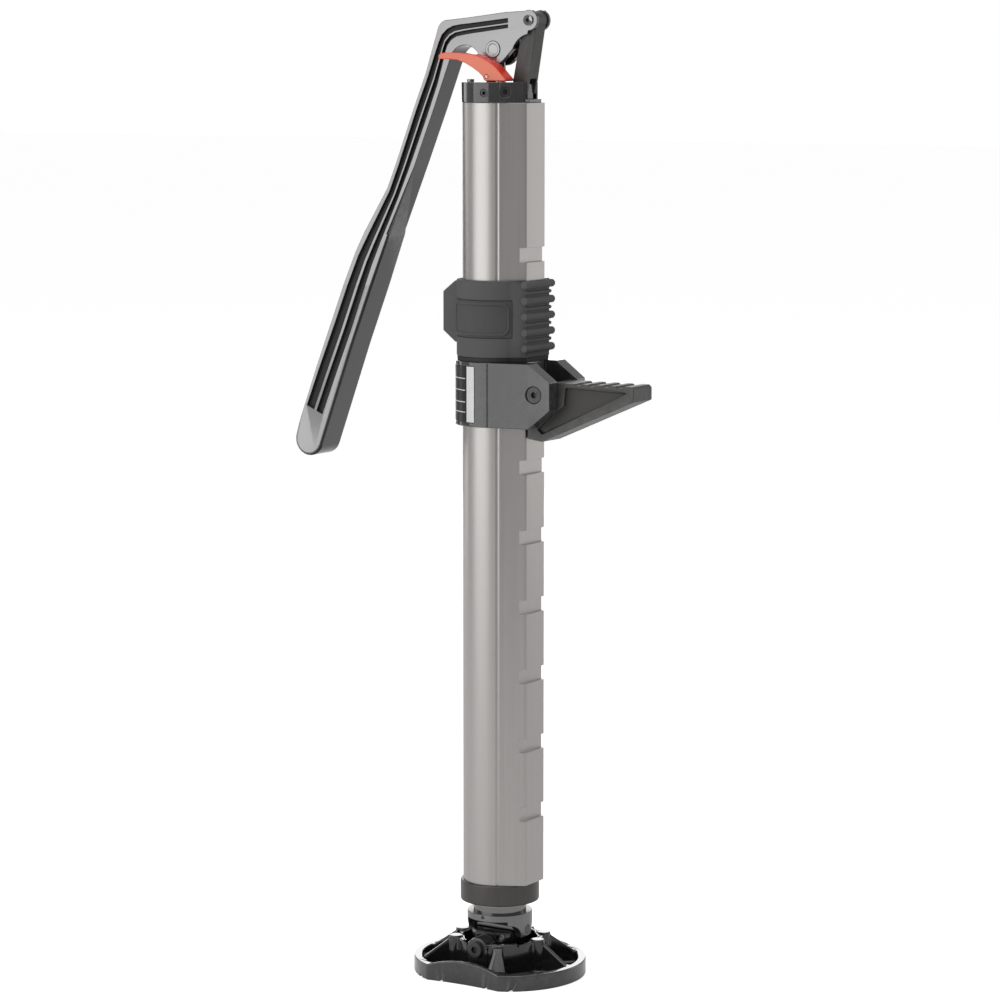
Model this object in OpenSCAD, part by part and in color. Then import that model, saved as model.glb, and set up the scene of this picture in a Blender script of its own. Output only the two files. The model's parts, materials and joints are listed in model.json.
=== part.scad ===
// Hydraulic recovery jack: notched aluminium column on a long ram, pump head with a folding
// lever handle, sliding hook with a rubber grip, and a foot that tilts both ways.
// Origin: centre of the foot's sole. +Z runs up the column, +X is the side that the hook is on.

/* [Column] */
// Height of the column's lower end above the sole
column_z0 = 91; // [88:0.5:100]
// Length of the column tube
column_len = 738; // [620:1:900]
// Outside radius of the tube's round back
column_r = 35; // [34:0.1:38]
// Distance from the axis to the notched front flat
column_front = 39.3; // [38:0.1:44]
// Half the width of the front flat
front_half = 17.2; // [15:0.1:19]
// Bore radius of the column tube
column_bore_r = 31.6; // [30.6:0.1:32.4]
// Height of the lowest notch's centre
notch_z0 = 160; // [150:1:180]
// Distance from notch to notch
notch_pitch = 66.1; // [50:0.1:80]
// Number of notches
notch_count = 9; // [5:1:9]
// Height of one notch
notch_h = 13.6; // [12:0.1:18]
// Depth of one notch
notch_depth = 5.3; // [4:0.1:6]

/* [Ram] */
// Radius of the chromed ram
rod_r = 25.4; // [22:0.1:26]
// Wall of the ram tube
rod_wall = 5; // [3:0.1:8]
// Wall of the inner pressure cylinder
cylinder_wall = 2.2; // [1.6:0.1:2.4]
// Height of the piston
piston_h = 26; // [20:1:40]

/* [Foot] */
// Half the length of the foot along X
foot_half_x = 84; // [70:1:100]
// Half the width of the foot along Y
foot_half_y = 68; // [60:1:80]
// Height of the rim
rim_h = 15.5; // [12:0.5:20]
// Rise of the rim at the middle of the two long sides
rim_arch = 6.5; // [2:0.5:8]
// Thickness of the sole plate
sole_t = 6; // [4:0.5:8]
// Height of the tilt pin's axis
tilt_z = 29.7; // [28:0.1:32]
// Radius of the tilt pin
tilt_pin_r = 6; // [5:0.1:7]
// Height of the cross pin's axis
cross_z = 44; // [43:0.1:46]
// Radius of the cross pin
cross_pin_r = 4.5; // [4:0.1:5]

/* [Head] */
// Height of the pump head above the column
head_h = 19; // [16:0.5:26]
// Radius of the pump head
head_r = 35.8; // [35.2:0.1:38]
// Radius of the pump plunger
plunger_r = 5.5; // [4:0.1:6]
// Distance from the plunger pin up to the column's top at rest
plunger_pin_up = 49; // [46:0.5:54]
// Link pin ahead of the plunger pin
link_pin_dx = 38.5; // [36:0.5:41]
// Link pin above the plunger pin
link_pin_dz = 26.5; // [24:0.5:29]
// Thickness of the handle at the head
handle_t = 24; // [22:0.5:28]
// Thickness of the handle at the grip
grip_t = 34; // [28:0.5:36]

/* [Hook] */
// Notch that the hook stands at, counted from the lowest
hook_notch = 6; // [2:1:6]
// Reach of the hook's tip from the axis
hook_reach = 154.5; // [140:0.5:190]
// Half the width of the hook
hook_half = 17.3; // [14:0.1:18]
// Height of the hook carrier
carrier_h = 60.7; // [58:0.1:66]
// Radius of the carrier round the column
carrier_r = 42; // [41.5:0.1:46]
// Height of the rubber grip
grip_h = 71.5; // [60:0.5:80]
// Radius of the hook's pivot bolt
bolt_r = 5; // [4:0.1:6]

/* [Fits] */
// Radial clearance of a running fit
run_fit = 0.05; // [0.02:0.01:0.1]
// Gap between parts that move past each other
gap = 0.5; // [0.4:0.1:0.8]

/* [Hidden] */
$fn = 96;

// how far a cutting tool reaches past the face that it leaves
past = 1;

// column and ram
column_z1 = column_z0 + column_len;
notch_floor = column_front - notch_depth;
flat_angle = 60;
flat_dist = column_front * cos(flat_angle) + front_half * sin(flat_angle);
cylinder_r1 = column_bore_r - 1.4;
cylinder_r0 = cylinder_r1 - cylinder_wall;
gland_h = 20;
gland_z0 = column_z0 - gland_h;
gland_spigot = 24;
gland_seal_r = rod_r + 3;
wiper_h = 6;
seal_z0 = gland_z0 + wiper_h + 4;
seal_h = 6;
collar_r = rod_r + 5.7;
collar_z0 = cross_z - 6;
collar_z1 = gland_z0 - wiper_h / 2 - 7.5;
rod_thread_r = rod_r - 3;
rod_z0 = collar_z1 - 5;
set_screw_r = 1.6;
set_screw_z = collar_z1 - 2.6;
piston_z1 = column_z1 - 69;
piston_z0 = piston_z1 - piston_h;
ring_h = 6;
seal_r0 = cylinder_r0 - 4;
band_r0 = cylinder_r0 - 2;
piston_seal_z = piston_z0 + piston_h * 0.62;
piston_band_z = piston_z0 + piston_h * 0.18;

// foot and knuckle
lug_half = 24.2;
lug_t = 18;
lug_r = 11;
cavity_r = 36;
hub_r = 42;
hub_z = 35;
rib_z = 36.5;
rim_t = 7.5;
corner_k = 0.47;
pin_head_r = tilt_pin_r + 1.4;
pin_head_t = 4;
clip_t = 1;
clip_groove = 0.8;
clip_y = lug_half + lug_t + 1.1;
knuckle_x = 21.6;
knuckle_y = lug_half - gap;
knuckle_z0 = 17.5;
knuckle_screw_x = 15;
knuckle_screw_z = cross_z - 5.5;
knuckle_screw_r = 3;
knuckle_seat_y = -19.6;

// head
head_z1 = column_z1 + head_h;
head_spigot = 17;
head_seal_z = column_z1 - 9;
head_seal_h = 3;
head_seal_r0 = column_bore_r - 2.6;
lock_screw_r = 1.8;
lock_screw_in = 27;
lock_screw_z = column_z1 - 3.4;
lock_screw_angles = [100, 180];
vent_x = -26.1;
vent_y = -9.5;
vent_shank_r = 2;
vent_depth = 6;
plug_depth = 6;
plug_sunk = 0.8;
filler_angle = -50;
filler_z = column_z1 + 10;
filler_r = 5;
relief_angle = -83;
relief_z = column_z1 + 9;
relief_r = 3.4;
q_z = column_z1 + plunger_pin_up;
p_x = link_pin_dx;
p_z = q_z + link_pin_dz;
plunger_eye_r = 11;
plunger_eye_t = 9;
plunger_pin_r = 7.6;
plunger_z0 = column_z1 - 54;
plunger_seal_h = 5;
link_pin_r = 3.2;
barrel_r = 10;
barrel_z0 = column_z1 - 63;
barrel_up = 9;
ball_pocket_r = 3.2;
ball_pocket_h = 3.5;
fork_half = 8.7;
fork_x0 = 22;
link_half = 8.3;
link_wall = 2.8;
link_foot_x = 23;
link_foot_z = column_z1 + 11;
link_foot_r = 5.2;
link_float_x = 4.6;
link_float_z = 1.9;
lower_pin_r = 2.6;
recess_x0 = link_foot_x - 11;
recess_z0 = column_z1 + 3.5;
lug_y = link_half - link_wall - 0.3;
lever_half = 8;
lever_y = -(handle_t / 2 + 0.4 + lever_half);
lever_pivot_x = 3;
lever_pivot_z = head_z1 + 5;
lever_pin_r = 1.5;
ear_half = 2.4;
ear_r = 3.8;
stem_x = 14;
stem_r = 2.5;
stem_seal_r = stem_r + 2.5;
stem_seal_h = 3;

// hook and carrier
dog_z = notch_z0 + hook_notch * notch_pitch;
carrier_z0 = dog_z - 28;
carrier_z1 = carrier_z0 + carrier_h;
cheek_y = 33.5;
cheek_in = hook_half + gap;
cheek_x = 74;
cheek_root_x = 51;
cheek_front_y = 32.5;
pivot_x = 57;
pivot_z = dog_z + 4.3;
hook_eye_r = 9;
hook_heel_x = 56.6;
bush_r = bolt_r + 2;
bolt_seat_y = 28;
bolt_seat_r = bolt_r + 3;
nut_seat_r = bolt_r + 3.6;
nut_t = 4.9;
dog_half = 22;
dog_h = 11;
dog_x0 = column_front + gap;
dog_x1 = pivot_x - hook_eye_r - gap;
dog_side_gap = 0.4;
dog_room = 0.3;
dog_spring_y = cheek_in + 2.3;
dog_spring_z = dog_z - 2.8;
dog_spring_r = 1.9;
dog_spring_len = 6;
pad_t = 1.6;
label_margin = 4;
label_a0 = -150;
label_a1 = -93;
label_depth = 0.8;
base_ring_h = 4.2;
grip_r = 40.6;
grip_z0 = carrier_z1 + base_ring_h;
grip_z1 = grip_z0 + grip_h;
grip_front = 42;
grip_half = 20.5;
badge_depth = 1.2;
badge_z0 = grip_z0 + 18.5;
badge_h = 35;
badge_a0 = -149;
badge_sweep = 108;

// points of an arc in a plane, from angle a0 to a1
function arc(cx, cy, r, a0, a1, n = 8) =
    [for (i = [0 : n]) let (a = a0 + (a1 - a0) * i / n) [cx + r * cos(a), cy + r * sin(a)]];

// a turned ring
module ring(r1, r0, z0, z1) {
    difference() {
        translate([0, 0, z0]) cylinder(r = r1, h = z1 - z0);
        translate([0, 0, z0 - past]) cylinder(r = r0, h = z1 - z0 + 2 * past);
    }
}

// a turned rod along Y, centred on y = yc
module rod_y(x, z, r, len, yc = 0) {
    translate([x, yc + len / 2, z]) rotate([90, 0, 0]) cylinder(r = r, h = len);
}

// a turned rod along X from x0 to x1
module rod_x(y, z, r, x0, x1) {
    translate([x0, y, z]) rotate([0, 90, 0]) cylinder(r = r, h = x1 - x0);
}

// an outline drawn in the XZ plane, given a thickness along Y
module plate_xz(t, yc = 0) {
    translate([0, yc + t / 2, 0]) rotate([90, 0, 0]) linear_extrude(t) children();
}

// a hexagon socket for a head that faces -Y
module socket_y(x, z, y_face, across, depth) {
    translate([x, y_face + depth, z]) rotate([90, 0, 0])
        cylinder(r = across / sqrt(3), h = depth + past, $fn = 6);
}

// a coil spring along Z, swept as one closed tube
module coil(r, wire, h, turns, z0) {
    per_turn = 12;
    sides = 6;
    n = per_turn * turns;
    pts = [for (i = [0 : n], j = [0 : sides - 1])
        let (a = 360 * i / per_turn, b = 360 * j / sides, rr = r + wire * cos(b))
        [rr * cos(a), rr * sin(a), z0 + wire + (h - 2 * wire) * i / n + wire * sin(b)]];
    skin = [for (i = [0 : n - 1], j = [0 : sides - 1])
        let (k = (j + 1) % sides)
        [i * sides + j, (i + 1) * sides + j, (i + 1) * sides + k, i * sides + k]];
    ends = [[for (j = [0 : sides - 1]) j], [for (j = [sides - 1 : -1 : 0]) n * sides + j]];
    polyhedron(points = pts, faces = concat(skin, ends));
}

// a slab bent round the column's axis: radii r0 to r1, heights z0 to z0 + h, from angle a0 over sweep
module bent_slab(r0, r1, z0, h, a0, sweep) {
    rotate([0, 0, a0]) rotate_extrude(angle = sweep) translate([r0, z0]) square([r1 - r0, h]);
}

// ---- foot -------------------------------------------------------------------------------

// the foot's plan: bowed ends, corners rounded, long sides slightly hollow
module foot_plan(inset = 0) {
    hx = foot_half_x - inset;
    hy = foot_half_y - inset;
    cx = hx * corner_k;
    end_r = (pow(hx - cx, 2) + hy * hy) / (2 * (hx - cx));
    end_a = asin(hy / end_r);
    side_sag = 3;
    side_r = (cx * cx + side_sag * side_sag) / (2 * side_sag);
    side_a = asin(cx / side_r);
    polygon(concat(
        arc(hx - end_r, 0, end_r, -end_a, end_a, 24),
        arc(0, hy - side_sag + side_r, side_r, 270 + side_a, 270 - side_a, 12),
        arc(end_r - hx, 0, end_r, 180 - end_a, 180 + end_a, 24),
        arc(0, side_sag - hy - side_r, side_r, 90 + side_a, 90 - side_a, 12)));
}

// a rib that falls from an ear on the hub to the rim at the angle a
module foot_rib(a) {
    rib_t = 4.6;
    ear_r = 6.5;
    rib_x0 = hub_r - 4;
    rib_x1 = foot_half_x + 10;
    slope_x = hub_r + 2;
    foot_x = foot_half_x - rim_t - 2;
    rotate([0, 0, a]) {
        plate_xz(rib_t) polygon([[rib_x0, sole_t], [rib_x1, sole_t], [rib_x1, rim_h], [foot_x, rim_h],
            [slope_x, rib_z], [rib_x0, rib_z]]);
        translate([hub_r + 0.5, 0, 0]) cylinder(r = ear_r, h = rib_z);
    }
}

// a web that widens from the hub down to a corner of the rim at the angle a
module foot_spoke(a) {
    half0 = 4.5;
    half1 = 15;
    x0 = hub_r - 3;
    x1 = foot_half_x + 10;
    foot_x = foot_half_y - 1;
    rotate([0, 0, a]) intersection() {
        linear_extrude(hub_z) polygon([[x0, -half0], [x0 + 9, -half0], [x1, -half1], [x1, half1],
            [x0 + 9, half0], [x0, half0]]);
        plate_xz(4 * half1) polygon([[x0, 0], [x1, 0], [x1, rim_h], [foot_x, rim_h], [hub_r + 1, hub_z - 2],
            [x0, hub_z - 2]]);
    }
}

// the block of one lug, on the side s of the knuckle
module lug_block(s, grow, z0, z1) {
    y0 = s > 0 ? lug_half : -lug_half - lug_t;
    translate([-lug_r - grow, y0, z0]) cube([2 * (lug_r + grow), lug_t, z1 - z0]);
}

module foot_casting() {
    rib_a = [0, 40, 180, 220];
    spoke_a = [-61, 119];
    arch_half = foot_half_x * corner_k;
    arch_r = (arch_half * arch_half + rim_arch * rim_arch) / (2 * rim_arch);
    crest_t = rim_t - 2;
    access_r = pin_head_r + 1.5;
    access_len = 9;
    drain_r = 6;
    tread_w = 4;
    tread_depth = 1.5;
    tread_pitch = 25;
    color([0.06, 0.06, 0.06]) difference() {
        union() {
            // sole plate, and the rim round it
            linear_extrude(sole_t) foot_plan();
            difference() {
                linear_extrude(rim_h) foot_plan();
                translate([0, 0, sole_t]) linear_extrude(rim_h) foot_plan(rim_t);
            }
            // arched crest on the two long sides
            difference() {
                intersection() {
                    translate([0, 0, rim_h]) linear_extrude(rim_arch) foot_plan();
                    rod_y(0, rim_h + rim_arch - arch_r, arch_r, 4 * foot_half_y);
                }
                translate([0, 0, rim_h - past]) linear_extrude(rim_arch + 2 * past) foot_plan(crest_t);
            }
            // hub, and the ribs that tie it to the corners
            cylinder(r = hub_r, h = hub_z);
            intersection() {
                union() {
                    for (a = rib_a) foot_rib(a);
                    for (a = spoke_a) foot_spoke(a);
                }
                linear_extrude(rib_z) foot_plan();
            }
            // lugs for the tilt pin
            for (s = [-1, 1]) {
                rod_y(0, tilt_z, lug_r, lug_t, s * (lug_half + lug_t / 2));
                lug_block(s, 0, 0, tilt_z);
            }
        }
        // cavity for the knuckle, which leaves the lugs standing
        difference() {
            translate([0, 0, sole_t]) cylinder(r = cavity_r, h = rib_z);
            for (s = [-1, 1]) lug_block(s, 0.01, 0, 2 * rib_z);
        }
        rod_y(0, tilt_z, tilt_pin_r, 2 * (lug_half + lug_t + past));
        // room for the tilt pin's head and for its clip
        for (s = [-1, 1])
            rod_y(0, tilt_z, access_r, access_len, s * (lug_half + lug_t + access_len / 2));
        translate([0, 0, -past]) cylinder(r = drain_r, h = sole_t + 2 * past);
        // tread grooves under the sole
        for (s = [-1, 1], i = [1 : 2])
            translate([s * i * tread_pitch - tread_w / 2, -foot_half_y, -past])
                cube([tread_w, 2 * foot_half_y, tread_depth + past]);
    }
}

// the groove that a clip sits in, cut round a pin along Y
module clip_groove_y(x, z, r, y) {
    groove_w = clip_t + 0.2;
    difference() {
        rod_y(x, z, r + past, groove_w, y);
        rod_y(x, z, r - clip_groove, groove_w + past, y);
    }
}

module tilt_pin() {
    pin_half = lug_half + lug_t + 2.5;
    head_y = -lug_half - lug_t - pin_head_t / 2 - 0.05;
    socket_w = 6;
    socket_deep = 3;
    color("dimgray") difference() {
        union() {
            rod_y(0, tilt_z, tilt_pin_r - run_fit, 2 * pin_half);
            rod_y(0, tilt_z, pin_head_r, pin_head_t, head_y);
        }
        socket_y(0, tilt_z, head_y - pin_head_t / 2, socket_w, socket_deep);
        clip_groove_y(0, tilt_z, tilt_pin_r - run_fit, clip_y);
    }
}

module tilt_pin_clip() {
    clip_r = tilt_pin_r + 2.4;
    mouth = 4;
    color("silver") difference() {
        rod_y(0, tilt_z, clip_r, clip_t, clip_y);
        rod_y(0, tilt_z, tilt_pin_r - clip_groove, clip_t + past, clip_y);
        translate([0, clip_y - clip_t, tilt_z - mouth / 2]) cube([2 * clip_r, 2 * clip_t, mouth]);
    }
}

// ---- knuckle ----------------------------------------------------------------------------

module knuckle() {
    boss_r = 8.6;
    ball_r = 27;
    ball_z = cross_z - 6;
    top_z = cross_z - 1;
    neck_z = tilt_z - 5;
    seat_len = 12;
    screw_hole = 5;
    color([0.05, 0.05, 0.05]) difference() {
        union() {
            intersection() {
                translate([0, 0, ball_z]) sphere(r = ball_r);
                union() {
                    rod_y(0, tilt_z, tilt_z - knuckle_z0, 2 * knuckle_y);
                    translate([-knuckle_x, -knuckle_y, neck_z])
                        cube([2 * knuckle_x, 2 * knuckle_y, top_z - neck_z]);
                }
            }
            rod_x(0, cross_z, boss_r, -knuckle_x, knuckle_x);
        }
        rod_y(0, tilt_z, tilt_pin_r, 2 * (knuckle_y + past));
        rod_x(0, cross_z, cross_pin_r, -knuckle_x - past, knuckle_x + past);
        // seat and hole of the side screw
        rod_y(knuckle_screw_x, knuckle_screw_z, knuckle_screw_r + run_fit, seat_len,
            knuckle_seat_y - seat_len / 2);
        rod_y(knuckle_screw_x, knuckle_screw_z, knuckle_screw_r / 2, 2 * screw_hole, knuckle_seat_y);
    }
}

module cross_pin() {
    pin_half = collar_r - 0.8;
    color("dimgray") rod_x(0, cross_z, cross_pin_r - run_fit, -pin_half, pin_half);
}

module knuckle_screw() {
    head_t = 2;
    shank = 4.5;
    color("silver") difference() {
        union() {
            rod_y(knuckle_screw_x, knuckle_screw_z, knuckle_screw_r / 2, shank, knuckle_seat_y + shank / 2);
            rod_y(knuckle_screw_x, knuckle_screw_z, knuckle_screw_r, head_t, knuckle_seat_y - head_t / 2);
        }
        socket_y(knuckle_screw_x, knuckle_screw_z, knuckle_seat_y - head_t, 2.5, 1.4);
    }
}

// ---- ram --------------------------------------------------------------------------------

module rod_end_collar() {
    slot_top = cross_z + 10;
    bevel_r = 12;
    bevel_y = 21;
    color([0.45, 0.45, 0.44]) difference() {
        translate([0, 0, collar_z0]) cylinder(r = collar_r, h = collar_z1 - collar_z0);
        // slot that the knuckle swings in
        translate([-knuckle_x - gap, -collar_r - past, collar_z0 - past])
            cube([2 * (knuckle_x + gap), 2 * (collar_r + past), slot_top - collar_z0 + past]);
        // bevel under the two cheeks
        for (s = [-1, 1]) rod_x(s * bevel_y, collar_z0, bevel_r, -2 * collar_r, 2 * collar_r);
        rod_x(0, cross_z, cross_pin_r - run_fit / 2, -collar_r - past, collar_r + past);
        // thread for the ram, and its set screw
        translate([0, 0, rod_z0]) cylinder(r = rod_thread_r, h = collar_z1);
        rod_y(0, set_screw_z, set_screw_r, 2 * (collar_r - rod_thread_r), -collar_r);
    }
}

module collar_set_screw() {
    face_y = -collar_r + 0.6;
    screw_len = collar_r - rod_thread_r - 0.7;
    color("dimgray") difference() {
        rod_y(0, set_screw_z, set_screw_r, screw_len, face_y + screw_len / 2);
        socket_y(0, set_screw_z, face_y, set_screw_r, 1.5);
    }
}

module piston_rod() {
    plug_h = 12;
    color([0.86, 0.86, 0.86]) difference() {
        union() {
            translate([0, 0, collar_z1]) cylinder(r = rod_r, h = piston_z0 - collar_z1);
            translate([0, 0, rod_z0]) cylinder(r = rod_thread_r, h = collar_z1 - rod_z0);
        }
        translate([0, 0, collar_z1 + plug_h]) cylinder(r = rod_r - rod_wall, h = piston_z0 - collar_z1);
    }
}

module piston() {
    piston_fit = 0.08;
    spigot_h = 20;
    color("gray") difference() {
        union() {
            translate([0, 0, piston_z0]) cylinder(r = cylinder_r0 - piston_fit, h = piston_h);
            translate([0, 0, piston_z0 - spigot_h])
                cylinder(r = rod_r - rod_wall - run_fit, h = spigot_h + past);
        }
        ring(cylinder_r0, seal_r0, piston_seal_z, piston_seal_z + ring_h);
        ring(cylinder_r0, band_r0, piston_band_z, piston_band_z + ring_h);
    }
}

module piston_seal() {
    color("darkgreen") ring(cylinder_r0 - run_fit, seal_r0, piston_seal_z, piston_seal_z + ring_h);
}

module piston_wear_band() {
    color("saddlebrown") ring(cylinder_r0 - run_fit, band_r0, piston_band_z, piston_band_z + ring_h);
}

// ---- column -----------------------------------------------------------------------------

// outside of the column: round back, two flats leaning outward, one front flat
module column_plan(grow = 0) {
    edge = 1.5;
    edge_y = edge * tan(90 - flat_angle);
    tx = (flat_dist + grow) * cos(flat_angle);
    ty = (flat_dist + grow) * sin(flat_angle);
    fx = column_front + grow;
    fy = front_half + grow * tan(45 - flat_angle / 2 + 15);
    union() {
        circle(r = column_r + grow);
        polygon([[0, -ty], [tx, -ty], [fx - edge, -fy - edge_y], [fx, -fy + edge],
            [fx, fy - edge], [fx - edge, fy + edge_y], [tx, ty], [0, ty]]);
    }
}

// a screw hole or a screw through the column's back wall into the head's spigot
module lock_screw_space(r, x1) {
    for (a = lock_screw_angles) rotate([0, 0, a]) rod_x(0, lock_screw_z, r, lock_screw_in, x1);
}

module column_tube() {
    groove_r = 1.9;
    groove_a = flat_angle + 2;
    notch_y = 30;
    color([0.72, 0.71, 0.69]) difference() {
        translate([0, 0, column_z0]) linear_extrude(column_len) column_plan();
        translate([0, 0, column_z0 - past]) cylinder(r = column_bore_r, h = column_len + 2 * past);
        for (i = [0 : notch_count - 1])
            translate([notch_floor, -notch_y, notch_z0 + i * notch_pitch - notch_h / 2])
                cube([notch_y, 2 * notch_y, notch_h]);
        // extrusion grooves where the flats meet the round back
        for (s = [-1, 1]) rotate([0, 0, s * groove_a])
            translate([column_r + groove_r / 2, 0, column_z0 - past])
                cylinder(r = groove_r, h = column_len + 2 * past);
        lock_screw_space(lock_screw_r, column_r + past);
    }
}

module inner_cylinder() {
    color("silver")
        ring(cylinder_r1, cylinder_r0, column_z0 + gland_spigot, column_z1 - head_spigot);
}

module gland_ring() {
    gland_r = column_r + 2.7;
    color([0.25, 0.25, 0.26]) difference() {
        union() {
            translate([0, 0, gland_z0]) cylinder(r = gland_r, h = gland_h);
            translate([0, 0, column_z0]) cylinder(r = column_bore_r - run_fit, h = gland_spigot);
        }
        translate([0, 0, gland_z0 - past]) cylinder(r = rod_r + gap, h = gland_h + gland_spigot);
        translate([0, 0, gland_z0 - past]) cylinder(r = gland_seal_r, h = wiper_h + past);
        translate([0, 0, seal_z0]) cylinder(r = gland_seal_r, h = gland_h + gland_spigot);
    }
}

module rod_wiper() {
    color([0.75, 0.75, 0.73])
        ring(gland_seal_r, rod_r + run_fit, gland_z0 - wiper_h / 2, gland_z0 + wiper_h);
}

module rod_seal() {
    color("darkgreen") ring(gland_seal_r, rod_r + run_fit, seal_z0, seal_z0 + seal_h);
}

module rod_guide_bush() {
    color("peru") ring(gland_seal_r, rod_r + run_fit, seal_z0 + seal_h, column_z0 + gland_spigot);
}

// ---- pump head --------------------------------------------------------------------------

// the space of a plug let into the head's side at the angle a
module side_seat(a, z, r) {
    rotate([0, 0, a]) rod_x(0, z, r, head_r - plug_depth, head_r + plug_depth);
}

// a plug with a hexagon socket that fills such a seat
module side_plug(a, z, r) {
    socket_deep = 3;
    x1 = head_r - plug_sunk;
    rotate([0, 0, a]) difference() {
        rod_x(0, z, r, head_r - plug_depth, x1);
        translate([x1 - socket_deep, 0, z]) rotate([0, 90, 0])
            cylinder(r = r / 2, h = plug_depth, $fn = 6);
    }
}

module pump_head() {
    nose_x = head_r + 3;
    nose_half = 11;
    slot_x = lower_pin_r + link_float_x;
    slot_z = lower_pin_r + link_float_z;
    lug_x1 = link_foot_x + slot_x + 3;
    ear_top = 1.2;
    lug_roof = 2;
    color([0.05, 0.05, 0.05]) difference() {
        union() {
            translate([0, 0, column_z1]) cylinder(r = head_r, h = head_h);
            translate([0, 0, column_z1 - head_spigot]) cylinder(r = column_bore_r - run_fit, h = head_spigot);
            // nose under the link's foot
            translate([recess_x0, -nose_half, column_z1])
                cube([nose_x - recess_x0, 2 * nose_half, recess_z0 - column_z1]);
            // ear for the release lever
            rod_y(lever_pivot_x, lever_pivot_z, ear_r, 2 * ear_half, lever_y);
            translate([lever_pivot_x - ear_r, lever_y - ear_half, head_z1 - ear_top])
                cube([2 * ear_r, 2 * ear_half, lever_pivot_z - head_z1 + ear_top]);
        }
        // bores of the pump
        translate([0, 0, column_z1 - head_spigot - past])
            cylinder(r = barrel_r, h = head_spigot + barrel_up + past);
        translate([0, 0, column_z1]) cylinder(r = plunger_r + run_fit, h = head_h + past);
        translate([0, 0, head_z1 - plunger_seal_h - past])
            cylinder(r = plunger_r + 3, h = 2 * plunger_seal_h);
        // recess that the link's fork works in, with the lug left standing in its middle
        difference() {
            translate([recess_x0, -link_half - gap, recess_z0]) cube([head_r, 2 * (link_half + gap), head_h]);
            translate([recess_x0, -lug_y, recess_z0])
                cube([lug_x1 - recess_x0, 2 * lug_y, link_foot_z + slot_z + lug_roof - recess_z0]);
        }
        // slot that the link's lower pin floats in
        translate([link_foot_x - slot_x, -link_half, link_foot_z - slot_z])
            cube([2 * slot_x, 2 * link_half, 2 * slot_z]);
        // seats of the plugs, screws and the valve stem
        side_seat(filler_angle, filler_z, filler_r);
        side_seat(relief_angle, relief_z, relief_r);
        lock_screw_space(lock_screw_r, column_r);
        translate([vent_x, vent_y, head_z1 - vent_depth]) cylinder(r = vent_shank_r, h = head_h);
        translate([stem_x, lever_y, column_z1 + 2]) cylinder(r = stem_r + run_fit, h = head_h);
        translate([stem_x, lever_y, head_z1 - stem_seal_h]) cylinder(r = stem_seal_r, h = head_h);
        rod_y(lever_pivot_x, lever_pivot_z, lever_pin_r, 2 * (ear_half + past), lever_y);
        ring(column_bore_r, head_seal_r0, head_seal_z, head_seal_z + head_seal_h);
    }
}

module head_lock_screws() {
    socket_deep = 2;
    x1 = column_r - 0.4;
    color("dimgray") difference() {
        lock_screw_space(lock_screw_r, x1);
        for (a = lock_screw_angles) rotate([0, 0, a]) translate([x1 - socket_deep, 0, lock_screw_z])
            rotate([0, 90, 0]) cylinder(r = lock_screw_r / 2, h = 2 * socket_deep, $fn = 6);
    }
}

module vent_screw() {
    vent_r = 3.4;
    vent_h = 2.6;
    color("silver") translate([vent_x, vent_y, 0]) difference() {
        union() {
            translate([0, 0, head_z1 - vent_depth]) cylinder(r = vent_shank_r, h = vent_depth);
            translate([0, 0, head_z1]) cylinder(r = vent_r, h = vent_h);
        }
        translate([0, 0, head_z1 + vent_h / 2]) cylinder(r = vent_r / 2, h = vent_h, $fn = 6);
    }
}

module filler_plug() {
    color([0.12, 0.12, 0.12]) side_plug(filler_angle, filler_z, filler_r);
}

module relief_valve_plug() {
    color([0.12, 0.12, 0.12]) side_plug(relief_angle, relief_z, relief_r);
}

module head_seal() {
    color("black") ring(column_bore_r - run_fit / 2, head_seal_r0, head_seal_z, head_seal_z + head_seal_h);
}

module pump_barrel() {
    floor_t = 6;
    port_r = 1.2;
    color("gray") difference() {
        translate([0, 0, barrel_z0]) cylinder(r = barrel_r, h = column_z1 + barrel_up - barrel_z0);
        translate([0, 0, barrel_z0 + floor_t]) cylinder(r = plunger_r + run_fit, h = column_len);
        translate([0, 0, barrel_z0 - past]) cylinder(r = port_r, h = floor_t + 2 * past);
        // pocket of the delivery ball and its spring
        translate([0, 0, barrel_z0 - past]) cylinder(r = ball_pocket_r, h = ball_pocket_h + past);
    }
}

module plunger_seal() {
    z0 = head_z1 - plunger_seal_h - past;
    color("darkgreen") ring(plunger_r + 3, plunger_r + run_fit, z0, z0 + plunger_seal_h);
}

module check_ball() {
    ball_r = 1.7;
    color("silver") translate([0, 0, barrel_z0 + ball_pocket_h - ball_r - 0.1]) sphere(r = ball_r);
}

module check_spring() {
    spring_r = 2.4;
    wire_r = 0.35;
    spring_h = 4;
    color("silver") coil(spring_r, wire_r, spring_h, 4, barrel_z0 - spring_h + wire_r);
}

module pump_plunger() {
    color([0.8, 0.8, 0.8]) difference() {
        union() {
            translate([0, 0, plunger_z0]) cylinder(r = plunger_r, h = q_z - plunger_z0);
            rod_y(0, q_z, plunger_eye_r, plunger_eye_t);
        }
        rod_y(0, q_z, plunger_pin_r, 2 * plunger_eye_t);
    }
}

// ---- handle -----------------------------------------------------------------------------

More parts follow.
